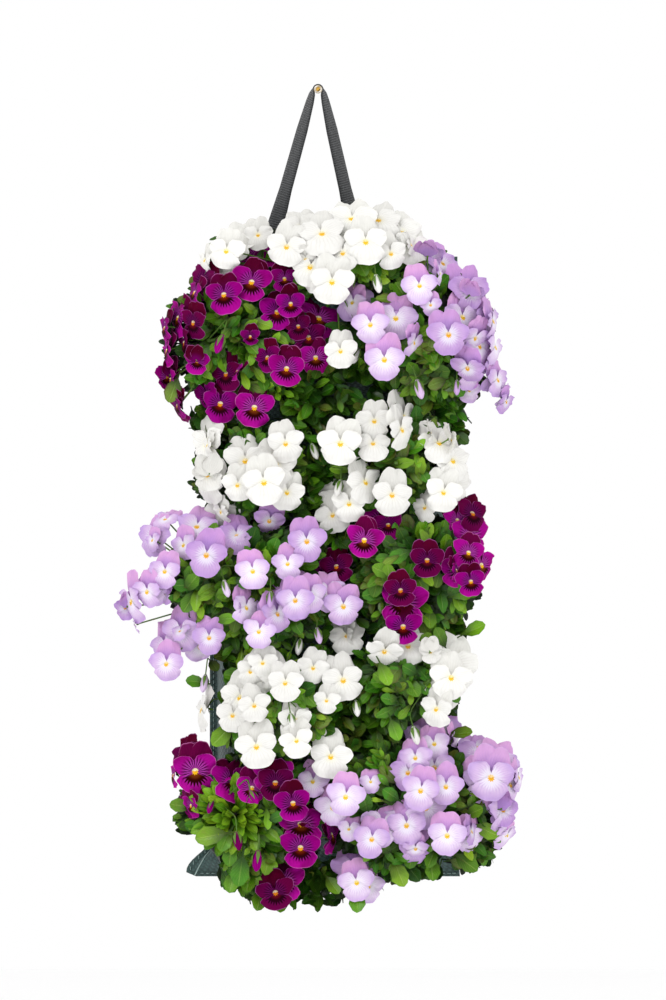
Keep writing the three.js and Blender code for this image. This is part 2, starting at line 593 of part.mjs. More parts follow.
// A core: a bumpy ball in front of the pouch
function core(plant) {
  const { middle, radii } = coreOf(plant);
  const form = new THREE.IcosahedronGeometry(1, 1);
  form.deleteAttribute("normal");
  form.deleteAttribute("uv");
  const ball = mergeVertices(form, 1e-3);
  const place = ball.attributes.position;
  for (let corner = 0; corner < place.count; corner++) {
    const grown = 1 + (draw() - 0.5) * 2 * CORE.bump;
    const point = new THREE.Vector3().fromBufferAttribute(place, corner).multiplyScalar(grown);
    point.multiply(radii).add(middle);
    place.setXYZ(corner, ...point.toArray());
  }
  return solidOf(ball);
}

// Leaves round a core: each draw gives a place on it and a way to lean, and is kept where the leaf is clear
function leaves(plant, body, others, wanted) {
  const { middle, radii } = coreOf(plant);
  const kept = [];
  for (let tries = 0; tries < LEAF_TRIES && kept.length < wanted; tries++) {
    const [turn, rise] = [(draw() * 2 - 1) * 1.75, Math.asin(draw() * 1.9 - 0.95)];
    const out = new THREE.Vector3(Math.sin(turn) * Math.cos(rise), -Math.cos(turn) * Math.cos(rise), Math.sin(rise));
    const root = out.clone().multiply(radii).multiplyScalar(LEAF.rooted).add(middle);
    const side = new THREE.Vector3(draw() - 0.5, draw() - 0.5, draw() - 0.6).cross(out).cross(out).normalize();
    const lean = 0.75 + 0.5 * draw();
    const along = out.clone().multiplyScalar(lean).addScaledVector(side, 1 - 0.4 * lean).normalize();
    const facing = out.clone().addScaledVector(along, -out.dot(along)).normalize();
    const size = LEAF.shortest + (LEAF.longest - LEAF.shortest) * draw();
    const blade = leaf(size, axes(facing, (draw() - 0.5) * 50, along).setPosition(root));
    const box = blade.boundingBox();
    if (box.max[1] > WALL - 1 || [...others, ...kept].some((other) => !blade.intersect(other).isEmpty())) continue;
    kept.push(blade);
  }
  return library.Manifold.union([body, ...kept]);
}

function meshOf(name, solid, { colour, roughness, metalness = 0 }) {
  const material = new THREE.MeshStandardMaterial({ color: colour, roughness, metalness });
  const mesh = new THREE.Mesh(geometryOf(solid), material);
  mesh.name = name;
  return mesh;
}

// Where a plant's root neck stands: through a slit in the front sheet, or bent over the rim from the mouth
function neckOf(plant) {
  const { middle, radii, front } = coreOf(plant);
  const bar = (from, to, wider) => stalk(new THREE.Vector3(...from), new THREE.Vector3(...to),
    NECK.radius + wider, NECK.sides);
  const wider = 2 * GAP;
  if (plant.mouth) {
    const [x, foot] = [middle.x, COMPOST.top - NECK.rooted];
    const upright = bar([x, MOUTH.neck, foot], [x, MOUTH.neck, MOUTH.over], 0);
    const bent = bar([x, MOUTH.neck + NECK.radius, MOUTH.over], [x, middle.y, middle.z + radii.z / 2], 0);
    return { neck: upright.add(bent), hole: bar([x, MOUTH.neck, foot - 1], [x, MOUTH.neck, 0], wider) };
  }
  const [x, z] = [middle.x, middle.z];
  const end = frontAt(x, z) + NECK.rooted;
  return {
    neck: bar([x, middle.y, z], [x, end, z], 0),
    hole: bar([x, front - CORE.depth, z], [x, end + 1, z], wider),
    slit: slitAt(x, z),
  };
}

const FINISHES = {
  metal: { colour: 0xb9ada0, roughness: 0.35, metalness: 1 },
  webbing: { colour: 0x3b3d3e, roughness: 0.85 },
  sheet: { colour: 0x2d4b46, roughness: 0.6 },
  compost: { colour: 0x2e2119, roughness: 1 },
  leaf: { colour: 0x3f6d16, roughness: 0.5 },
};

// The whole planter
const planter = new THREE.Group();
const necks = PLANTS.map(neckOf);
const slits = necks.filter(({ slit }) => slit).map(({ slit }) => slit);
const sheet = frontSheet(slits);
const filling = necks.reduce((fill, { hole }) => fill.subtract(hole), compost());
const band = strap();
const fixed = [sheet, filling, band, backSheet(), nail()];

const pouch = new THREE.Group();
pouch.add(
  meshOf("pouch_front_sheet", sheet, FINISHES.sheet),
  meshOf("pouch_back_sheet", fixed[3], FINISHES.sheet),
  meshOf("compost", filling, FINISHES.compost),
  meshOf("hanging_strap", band, FINISHES.webbing),
  meshOf("hanging_nail", fixed[4], FINISHES.metal),
);
planter.add(pouch);

const shoots = PLANTS.map((plant) => plant.shoots.map((blooms) => shoot(plant, blooms)));
const cores = PLANTS.map((plant, index) =>
  shoots[index].reduce((body, { hole }) => body.subtract(hole), core(plant)).add(necks[index].neck));
const bushes = [...cores];
PLANTS.forEach((plant, index) => {
  const others = [...fixed, ...bushes.filter((_, other) => other !== index), ...shoots.flat().map(({ solid }) => solid)];
  bushes[index] = leaves(plant, cores[index], others, plant.leaves);
  const pansy = new THREE.Group();
  pansy.add(meshOf(`${plant.name}_leaves`, bushes[index], FINISHES.leaf));
  shoots[index].forEach(({ solid }, number) => {
    const finish = { colour: PETAL_COLOURS[plant.petals], roughness: 0.55 };
    pansy.add(meshOf(`${plant.name}_blooms_${number + 1}`, solid, finish));
  });
  planter.add(pansy);
});

export default planter;
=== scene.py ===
# A hanging flower pouch planted with pansies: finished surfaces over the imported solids, in metres.
# The lists give millimetres from the middle of the nail: across to the right, up, and into the wall.
import bpy
import math
from mathutils import Matrix, Quaternion, Vector, noise


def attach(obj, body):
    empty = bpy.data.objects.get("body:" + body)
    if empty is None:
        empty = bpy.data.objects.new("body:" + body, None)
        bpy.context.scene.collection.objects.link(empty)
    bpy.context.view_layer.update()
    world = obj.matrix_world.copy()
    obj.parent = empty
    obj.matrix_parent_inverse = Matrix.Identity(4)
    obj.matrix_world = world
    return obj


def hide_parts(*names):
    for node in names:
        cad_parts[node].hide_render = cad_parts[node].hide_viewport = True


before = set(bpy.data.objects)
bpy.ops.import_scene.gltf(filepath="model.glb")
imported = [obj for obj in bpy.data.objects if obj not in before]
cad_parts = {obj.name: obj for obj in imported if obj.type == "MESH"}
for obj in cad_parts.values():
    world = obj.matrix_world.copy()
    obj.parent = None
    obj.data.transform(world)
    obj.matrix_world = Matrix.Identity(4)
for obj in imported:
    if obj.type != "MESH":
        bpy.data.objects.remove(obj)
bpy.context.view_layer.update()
mm = 0.001
fullTurn = 2 * math.pi

# the camera, the light and the floor
view = {"middle": (12, -329.6), "height": 800, "distance": 16000, "reference": -60, "sensor": 36, "clip": (1, 100),
        "world": (1.0, 1.0, 1.0), "strength": 1.0, "aim": (0, 0, -0.35), "floor": -800, "floorRadius": 4000,
        "floorCorners": 96, "floorPaint": (0.97, 0.97, 0.97), "floorRoughness": 0.8}
lamps = {"key": {"place": (-1.3, -2.6, 1.5), "size": 1.3, "power": 24},
         "fill": {"place": (2.0, -2.4, 0.2), "size": 1.8, "power": 7}}


def circle(count):
    return [fullTurn * k / count for k in range(count)]


def hang(name, data):
    holder = bpy.data.objects.new(name, data)
    bpy.context.collection.objects.link(holder)
    return holder


def setStage():
    camera = bpy.data.cameras.new("camera")
    camera.sensor_width = view["sensor"]
    camera.lens = view["sensor"] * view["distance"] / view["height"]
    camera.clip_start, camera.clip_end = view["clip"]
    holder = hang("camera", camera)
    across, up = view["middle"]
    holder.location = (across * mm, (view["reference"] - view["distance"]) * mm, up * mm)
    holder.rotation_euler = (math.pi / 2, 0, 0)
    bpy.context.scene.camera = holder
    world = bpy.data.worlds.new("studio")
    bpy.context.scene.world = world
    world.use_nodes = True
    ground = world.node_tree.nodes["Background"]
    ground.inputs["Color"].default_value = (*view["world"], 1)
    ground.inputs["Strength"].default_value = view["strength"]
    bpy.context.scene.view_settings.view_transform = "Standard"
    for name, values in lamps.items():
        lamp = bpy.data.lights.new(name, "AREA")
        lamp.shape, lamp.size, lamp.energy = "DISK", values["size"], values["power"]
        holder = hang(name, lamp)
        holder.location = values["place"]
        towards = Vector(view["aim"]) - Vector(values["place"])
        holder.rotation_euler = towards.to_track_quat("-Z", "Y").to_euler()
    radius = view["floorRadius"] * mm
    ring = [(radius * math.cos(a), radius * math.sin(a), view["floor"] * mm) for a in circle(view["floorCorners"])]
    mesh = bpy.data.meshes.new("floor")
    mesh.from_pydata(ring, [], [list(range(len(ring)))])
    floor = hang("floor", mesh)
    paint, shader = finish("paleFloor", Roughness=view["floorRoughness"])
    shader.inputs["Base Color"].default_value = (*view["floorPaint"], 1)
    mesh.materials.append(paint)
    print("stage set")


# short ways to wire a material or a Geometry Nodes tree: new nodes go to the tree kept here
wiring = {"tree": None}


def hexColour(code, alpha=1.0):
    parts = [int(code[k:k + 2], 16) / 255 for k in (0, 2, 4)]
    return (*[p / 12.92 if p <= 0.04045 else ((p + 0.055) / 1.055) ** 2.4 for p in parts], alpha)


def putNode(kind, inputs=(), **settings):
    node = wiring["tree"].nodes.new(kind)
    for key, value in settings.items():
        setattr(node, key, value)
    for key, value in (inputs.items() if isinstance(inputs, dict) else enumerate(inputs)):
        if isinstance(value, bpy.types.NodeSocket):
            wiring["tree"].links.new(value, node.inputs[key])
        elif value is not None:
            node.inputs[key].default_value = value
    return node


def put(kind, inputs=(), output=0, **settings):
    return putNode(kind, inputs, **settings).outputs[output]


def calc(operation, *values):
    return put("ShaderNodeMath", values, operation=operation)


def times(first, *others):
    for other in others:
        first = calc("MULTIPLY", first, other)
    return first


def plus(first, second):
    return calc("ADD", first, second)


def minus(first, second):
    return calc("SUBTRACT", first, second)


def ramp(value, low, high, start=0.0, end=1.0):
    return put("ShaderNodeMapRange", (value, low, high, start, end), interpolation_type="SMOOTHSTEP")


def mix(factor, first, second):
    return put("ShaderNodeMix", {0: factor, 6: first, 7: second}, 2, data_type="RGBA")


def tint(base, factor, code):
    return mix(factor, base, hexColour(code))


def shift(base, hue, value):
    return put("ShaderNodeHueSaturation", (hue, 1.0, value, 1.0, base))


def noiseAt(where, scale, detail=3.0):
    return put("ShaderNodeTexNoise", {"Vector": where, "Scale": scale, "Detail": detail})


def attribute(name):
    return put("ShaderNodeAttribute", (), 2, attribute_name=name)


def split(vector):
    return putNode("ShaderNodeSeparateXYZ", [vector]).outputs


def objectPlace():
    return put("ShaderNodeTexCoord", output=3)


def mapOf(name):
    return put("ShaderNodeUVMap", uv_map=name)


def finish(name, **sockets):
    paint = bpy.data.materials.new(name)
    paint.use_nodes = True
    wiring["tree"] = paint.node_tree
    shader = paint.node_tree.nodes["Principled BSDF"]
    for key, value in sockets.items():
        shader.inputs[key.replace("_", " ")].default_value = value
    return paint, shader


def dress(shader, colour, roughness=None, height=None, depth=0.0002, strength=1.0):
    links = wiring["tree"].links
    links.new(colour, shader.inputs["Base Color"])
    if roughness is not None:
        links.new(roughness, shader.inputs["Roughness"])
    if height is not None:
        bump = put("ShaderNodeBump", {"Height": height, "Distance": depth, "Strength": strength})
        links.new(bump, shader.inputs["Normal"])


# short ways to make a mesh
farFromEye = (0.95, 0.5)  # on the map of a bloom's face, where no mark of the petals lies
tubeHint = Vector((0.13, 0.21, 1))


def newSheaf():
    return {"points": [], "faces": [], "uv": [], "face": [], "kind": [], "tone": []}


def addGrid(sheaf, grid, uvs=None, around=False, kind=0.0, tone=0.5, plane=None):
    first = len(sheaf["points"])
    rows, columns = len(grid), len(grid[0])
    for i, row in enumerate(grid):
        for j, point in enumerate(row):
            sheaf["points"].append(tuple(point))
            sheaf["uv"].append(uvs[i][j] if uvs else (j / max(1, columns - 1), i / max(1, rows - 1)))
            sheaf["face"].append(plane[i][j] if plane else farFromEye)
            sheaf["kind"].append(kind)
            sheaf["tone"].append(tone)
    for i in range(rows - 1):
        for j in range(columns if around else columns - 1):
            k = (j + 1) % columns
            a, b = first + i * columns, first + (i + 1) * columns
            sheaf["faces"].append((a + j, a + k, b + k, b + j))


def turned(heading, hint):
    side = hint.cross(heading)
    if side.length < 1e-6:
        side = Vector((1, 0, 0)).cross(heading)
    side.normalize()
    return side, heading.cross(side).normalized()


def addTube(sheaf, route, radii, sides, tone=0.5, kind=0.0):
    side = None
    grid = []
    for i, place in enumerate(route):
        heading = (route[min(i + 1, len(route) - 1)] - route[max(i - 1, 0)]).normalized()
        if side is None:
            side, _ = turned(heading, tubeHint)
        side = (side - heading * side.dot(heading)).normalized()
        other = heading.cross(side)
        grid.append([place + (side * math.cos(a) + other * math.sin(a)) * radii[i] for a in circle(sides)])
    grid = [[route[0]] * sides, *grid, [route[-1]] * sides]
    addGrid(sheaf, grid, around=True, tone=tone, kind=kind,
            uvs=[[(k / sides, i / len(grid)) for k in range(sides)] for i in range(len(grid))])


def makePiece(name, sheaf, paint, slot=None, smooth=True):
    mesh = bpy.data.meshes.new(name)
    mesh.from_pydata([tuple(c * mm for c in p) for p in sheaf["points"]], [], sheaf["faces"])
    for label in ("uv", "face"):
        layer = mesh.uv_layers.new(name=label)
        corners = [c for index in (loop.vertex_index for loop in mesh.loops) for c in sheaf[label][index]]
        layer.data.foreach_set("uv", corners)
    for label in ("kind", "tone"):
        mesh.attributes.new(label, "FLOAT", "POINT").data.foreach_set("value", sheaf[label])
    mesh.materials.append(paint)
    if smooth:
        mesh.shade_smooth()
    mesh.validate()
    piece = hang(name, mesh)
    if slot:
        settle(piece, slot)
    return piece


def pressToWall(piece, gap=0.4):
    for point in piece.data.vertices:
        point.co.y = min(point.co.y, (pouch["wall"] - gap) * mm)


def settle(piece, slot, *nodes):
    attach(piece, "root")
    if nodes:
        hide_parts(*nodes)


# seeded draws: the first ones are the rolls of the blooms, in the order of the plants
draws = {"seed": 5821, "now": 5821}


def draw():
    draws["now"] = (draws["now"] * 16807) % 2147483647
    return draws["now"] / 2147483647


# the pouch's form
pouch = {"left": -87, "right": 112, "rim": -134, "hem": -632, "depth": 58, "seam": 6, "wall": 12, "cloth": 0.8,
         "earTop": -606, "earLeft": 19, "earRight": 2, "earTurn": 0.86, "earPower": 1.2, "earTuck": 8, "foot": 120,
         "mouth": 0.86, "mouthHeight": 80, "round": 0.85, "slit": (17, 30), "crease": 1.3}
seamDepth = pouch["wall"] - pouch["cloth"]


def share(value, start, end):
    return min(1.0, max(0.0, (value - start) / (end - start)))


def leftEdge(up):
    down = share(up, pouch["earTop"], pouch["hem"])
    turn = pouch["earTurn"]
    out = pouch["earLeft"] * math.sin(math.pi / 2 * min(1.0, down / turn)) ** pouch["earPower"]
    return pouch["left"] - out + pouch["earTuck"] * max(0.0, (down - turn) / (1 - turn)) ** 2


def rightEdge(up):
    return pouch["right"] + pouch["earRight"] * share(up, pouch["earTop"], pouch["hem"])


def fullness(up):
    foot = 1 - share(up, pouch["hem"] + pouch["seam"], pouch["hem"] + pouch["seam"] + pouch["foot"])
    mouth = share(up, pouch["rim"] - pouch["mouthHeight"], pouch["rim"])
    return math.sqrt(1 - foot * foot) * (1 - (1 - pouch["mouth"]) * mouth * mouth)


def frontAt(across, up):
    middle = (leftEdge(up) + rightEdge(up)) / 2
    half = (rightEdge(up) - leftEdge(up)) / 2 - pouch["seam"]
    sine = min(1.0, abs(across - middle) / half)
    return seamDepth - pouch["depth"] * fullness(up) * math.sqrt(1 - sine * sine) ** pouch["round"]


# The plants: middle and reach give the bush across and up, mound how far it stands out of the pouch.
# Each shoot lists its blooms as [across, up, width, turn to the right, tilt up, how far out].
plants = [
    {"name": "top_left", "petals": "magenta", "middle": [-66, -198], "reach": [64, 64], "mound": 46,
     "core": [-64, -188, 35, 42], "mouth": True,
     "shoots": [
         [[-53, -156, 32, -5, 8, 3], [-27, -153, 22, 15, 0, 3], [-36, -138, 21, 0, 65, 1],
          [-75, -166, 30, -10, 5, 3], [-98, -164, 24, -70, 10, 2]],
         [[-22, -173, 24, 10, -10, 2], [-16, -191, 22, 15, 0, 0], [-2, -216, 27, 5, 0, 1],
          [-25, -225, 29, -5, 0, 3], [-40, -216, 24, -35, 0, 1]],
         [[-54, -199, 16, -10, -20, 1], [-64, -227, 18, -80, 30, 2], [-78, -253, 30, -10, 0, 2],
          [-51, -256, 32, 5, 0, 3]],
         [[-99, -188, 27, -45, -15, 2], [-122, -192, 24, -75, 0, 1], [-120, -210, 22, -85, 0, 0],
          [-120, -231, 24, -140, 0, 0], [-97, -219, 21, 160, 10, 2], [-112, -254, 22, -75, -20, 1]],
     ]},
    {"name": "top_middle", "petals": "white", "middle": [-2, -134], "reach": [88, 40], "mound": 44,
     "core": [14, -142, 33, 17], "mouth": True,
     "shoots": [
         [[-73, -131, 30, -12, 0, 3], [-48, -118, 24, 0, 5, 0], [-90, -138, 21, -65, 0, 1]],
         [[-25, -128, 32, -5, 5, 2], [-10, -137, 18, 5, -40, 1], [-5, -152, 27, -50, 0, 1], [11, -156, 35, 5, 0, 3],
          [4, -113, 29, 0, 35, 0]],
         [[38, -124, 35, 5, 5, 2], [20, -133, 29, -10, 10, 1], [58, -133, 27, 15, 0, 2], [74, -126, 18, 70, 10, 2]],
         [[18, -211, 27, 0, 0, 3]],
     ]},
    {"name": "top_right", "petals": "lavender", "middle": [94, -198], "reach": [64, 64], "mound": 46,
     "core": [88, -188, 35, 42], "mouth": True,
     "shoots": [
         [[28, -172, 24, -35, 0, 1], [42, -190, 30, -8, 0, 3], [59, -186, 24, 10, 5, 0], [53, -218, 34, 0, 0, 3],
          [76, -204, 24, 62, -20, 2]],
         [[81, -159, 30, 5, 12, 3], [88, -134, 27, 170, 40, 2], [97, -149, 19, 80, 0, 3], [90, -174, 18, 0, 0, 2]],
         [[104, -198, 34, 10, 0, 3], [120, -224, 29, -25, -35, 2], [121, -242, 20, 170, 0, 0]],
         [[125, -200, 27, 40, -35, 1], [122, -166, 24, 160, 20, 1], [139, -187, 29, 75, 0, 1],
          [143, -234, 27, 55, 0, 2], [150, -251, 21, 60, -20, 1]],
     ]},
    {"name": "first_left", "petals": "white", "middle": [-54, -306], "reach": [52, 44], "mound": 46,
     "shoots": [
         [[-26, -285, 30, 5, 0, 2], [-43, -316, 36, -3, 0, 3], [-25, -324, 29, 8, 0, 1],
          [-64, -318, 27, -15, 0, 2]],
         [[-88, -286, 18, -70, 0, 1], [-88, -310, 27, -160, 0, 2], [-77, -339, 21, -60, -20, 2]],
     ]},
    {"name": "first_right", "petals": "white", "middle": [62, -298], "reach": [60, 48], "mound": 48,
     "shoots": [
         [[18, -285, 36, -5, 0, 3], [45, -267, 29, 0, 5, 1], [25, -333, 29, -5, 0, 3], [12, -342, 29, -15, 0, 1]],
         [[66, -274, 32, 55, 0, 2], [59, -326, 32, 5, 0, 2]],
         [[100, -324, 30, 10, 0, 3], [86, -336, 25, -35, 0, 2], [106, -282, 22, 110, 0, 2],
          [90, -276, 16, 90, 0, 1]],
     ]},
    {"name": "second_left", "petals": "lavender", "middle": [-66, -398], "reach": [96, 60], "mound": 54,
     "shoots": [
         [[-89, -374, 34, -5, 0, 3], [-107, -366, 25, -35, 0, 0], [-122, -387, 27, -20, 0, 2],
          [-101, -346, 24, -20, 50, 0], [-122, -346, 24, -30, 45, 0], [-132, -362, 18, -50, 0, 1]],
         [[-136, -403, 27, -35, -15, 2], [-154, -416, 21, -150, 0, 1], [-146, -430, 14, -90, -20, 1],
          [-122, -406, 16, -60, 0, 0]],
         [[-87, -440, 27, 0, 0, 2], [-110, -435, 18, -40, 30, 1], [-121, -461, 29, -15, 0, 3],
          [-92, -450, 14, -20, 0, 0]],
         [[-52, -387, 30, 0, 8, 2], [-61, -416, 16, 75, 0, 1], [-66, -358, 21, 0, 40, 0],
          [-39, -346, 26, 0, -35, 1]],
         [[-9, -363, 32, 5, 0, 3], [-24, -381, 26, -10, 5, 1], [-18, -410, 30, -5, 0, 3], [-5, -406, 27, 10, 0, 1],
          [20, -415, 32, 10, 0, 3], [-33, -421, 29, 35, 0, 1], [-47, -435, 27, -10, 0, 3]],
     ]},
    {"name": "second_right", "petals": "magenta", "middle": [78, -390], "reach": [60, 56], "mound": 50,
     "shoots": [
         [[37, -362, 30, -3, 0, 3], [56, -350, 24, 5, 20, 0], [15, -383, 27, -15, 0, 1]],
         [[87, -378, 27, 5, 0, 2], [66, -402, 26, -5, 0, 2], [68, -431, 29, 0, 0, 3]],
         [[111, -346, 24, 35, 0, 1], [120, -372, 26, 15, 0, 2], [122, -395, 24, 10, 0, 3],
          [110, -386, 19, 70, 0, 1]],
     ]},
    {"name": "third_left", "petals": "white", "middle": [-34, -494], "reach": [60, 52], "mound": 48,
     "shoots": [
         [[-92, -498, 34, -78, 0, 0], [-68, -502, 27, -10, 0, 1], [-51, -494, 27, 5, 0, 2],
          [-67, -484, 16, -20, 0, 0], [-49, -527, 34, -3, 0, 3]],
         [[-44, -460, 24, -10, 0, 2], [-54, -467, 24, -5, 0, 1], [-26, -476, 29, -8, 0, 2],
          [-4, -464, 26, 5, 0, 1]],
         [[20, -474, 34, 5, 0, 3], [7, -490, 22, -10, 0, 1], [-17, -522, 27, -5, 0, 2], [10, -535, 34, 5, 0, 3]],
     ]},
    {"name": "third_right", "petals": "white", "middle": [74, -474], "reach": [48, 50], "mound": 46,
     "shoots": [
         [[23, -438, 21, -60, 0, 0], [53, -450, 30, 0, -40, 2]],
         [[90, -451, 19, 170, 0, 2], [106, -472, 34, 12, 0, 3], [95, -497, 29, -30, 0, 3]],
     ]},
    {"name": "low_left", "petals": "magenta", "middle": [-58, -590], "reach": [62, 66], "mound": 50,
     "shoots": [
         [[-98, -547, 37, -8, 0, 3], [-115, -550, 22, -80, 0, 1], [-101, -574, 21, -60, -20, 1],
          [-72, -551, 24, 0, 75, 0]],
         [[-34, -556, 30, -5, 5, 1], [-20, -572, 29, 5, 0, 3], [-14, -608, 32, 0, 0, 3], [10, -598, 32, 75, 0, 1]],
         [[-34, -644, 30, 0, -5, 3]],
     ]},
    {"name": "low_right", "petals": "lavender", "middle": [82, -578], "reach": [88, 66], "mound": 52,
     "shoots": [
         [[-4, -555, 26, -10, 0, 1], [22, -567, 32, 0, 0, 3], [42, -555, 19, 0, 10, 0], [25, -593, 20, -20, 10, 1],
          [43, -601, 30, -5, 0, 3], [31, -636, 30, 0, -5, 2]],
         [[93, -525, 27, 0, 5, 2], [110, -519, 19, 75, 0, 1], [78, -536, 27, -10, 0, 1], [82, -562, 32, -5, 0, 3],
          [102, -559, 30, 5, 0, 2], [126, -528, 27, 20, 50, 0]],
         [[71, -590, 32, -10, 0, 1], [103, -598, 32, 5, 0, 3], [78, -608, 21, 0, -40, 1],
          [122, -595, 22, 70, 0, 1]],
         [[138, -552, 40, 10, 0, 3], [160, -552, 24, 75, 0, 1], [148, -578, 27, 165, 0, 1],
          [151, -598, 19, 60, -30, 0]],
     ]},
]


# where blooms and leaves stand
bush = {"share": 0.56, "depth": 20, "clear": 1, "bump": 0.09, "lowestRise": 0.35, "rimDrop": 8, "layer": 6.5,
        "roll": 12, "fork": 0.95, "gather": 0.45, "stem": 1.7, "stalk": 0.65, "strands": 6, "petalReach": 0.7,
        "behind": 18, "leafReach": 0.46}


def coreOf(plant):
    across, up, wide, high = plant.get("core") or [*plant["middle"], *[r * bush["share"] for r in plant["reach"]]]
    front = min(frontAt(across - wide / 2, up), frontAt(across + wide / 2, up))
    middle = Vector((across, front - bush["clear"] - bush["depth"] * (1 + bush["bump"]), up))
    return front, middle, Vector((wide, bush["depth"], high))


def eyeAt(plant, across, up, layer):
    x, z = (across - plant["middle"][0]) / plant["reach"][0], (up - plant["middle"][1]) / plant["reach"][1]
    rise = max(bush["lowestRise"], math.sqrt(max(0, 1 - x * x - z * z)))
    foot = min(frontAt(across, up), coreOf(plant)[0] + bush["rimDrop"])
    return Vector((across, foot - plant["mound"] * rise - layer * bush["layer"], up))


def facingOf(turn, tilt):
    side, rise = math.radians(turn), math.radians(tilt)
    return Vector((math.sin(side) * math.cos(rise), -math.cos(side) * math.cos(rise), math.sin(rise)))


def axesOf(facing, roll, hint=Vector((0, 0, 1))):
    up = (hint - facing * hint.dot(facing)).normalized()
    up.rotate(Quaternion(facing, math.radians(roll)))
    right = up.cross(facing)
    return right, up, facing


def smoothRoute(stops, steps):
    ends = [stops[0] * 2 - stops[1], *stops, stops[-1] * 2 - stops[-2]]
    route = []
    for k in range(1, len(ends) - 2):
        a, b, c, d = ends[k - 1:k + 3]
        for step in range(steps):
            t = step / steps
            route.append((b * 2 + (c - a) * t + (a * 2 - b * 5 + c * 4 - d) * t * t
                          + (b * 3 - a - c * 3 + d) * t * t * t) * 0.5)
    return [*route, stops[-1]]


# the finishes of petals
petalPaints = {
    "magenta": {"lower": "960080", "upper": "4c0020", "glow": "a400a8", "edge": "d070be", "vein": "4a003c",
                "veins": 0.45, "glowReach": (0.16, 0.46), "halo": "b848c0", "haloReach": (0.14, 0.33),
                "eye": "ee9a1c", "cream": "fff2cc", "veinCount": 9.0, "hues": (0.484, 0.53), "dark": 0.4,
                "fringe": 0.7, "gloss": 0.02},
    "lavender": {"lower": "dabae2", "upper": "d6a2d6", "glow": "dfcae8", "edge": "dcc4e6", "vein": "a070c8",
                 "veins": 0.25, "glowReach": (0.10, 0.44), "halo": "f0ecf6", "haloReach": (0.11, 0.29),
                 "eye": "eab61a", "cream": "ffe9a8", "veinCount": 11.0, "hues": (0.482, 0.512), "dark": 0.14,
                 "fringe": 0.3, "gloss": 0.2},
    "white": {"lower": "ebeae6", "upper": "e0dfda", "glow": "efede2", "edge": "f4f2ee", "vein": "cbc7bd",
              "veins": 0.25, "glowReach": (0.06, 0.30), "halo": "efecd8", "haloReach": (0.07, 0.14),
              "eye": "ecba22", "cream": "fff0b8", "veinCount": 9.0, "hues": (0.495, 0.505), "dark": 0.1,
              "fringe": 0.2, "gloss": 0.2},
}


# marks on every bloom's face, by distance from its eye in widths of the bloom
marks = {"faceSpan": 1.4, "whiskers": 25.0, "ragged": 0.04, "blotchRagged": 0.045, "blotch": (0.26, 0.31),
         "hairs": (0.22, 0.36), "starPoints": 9.0, "star": (0.05, 0.075), "beard": (0.06, 0.085)}


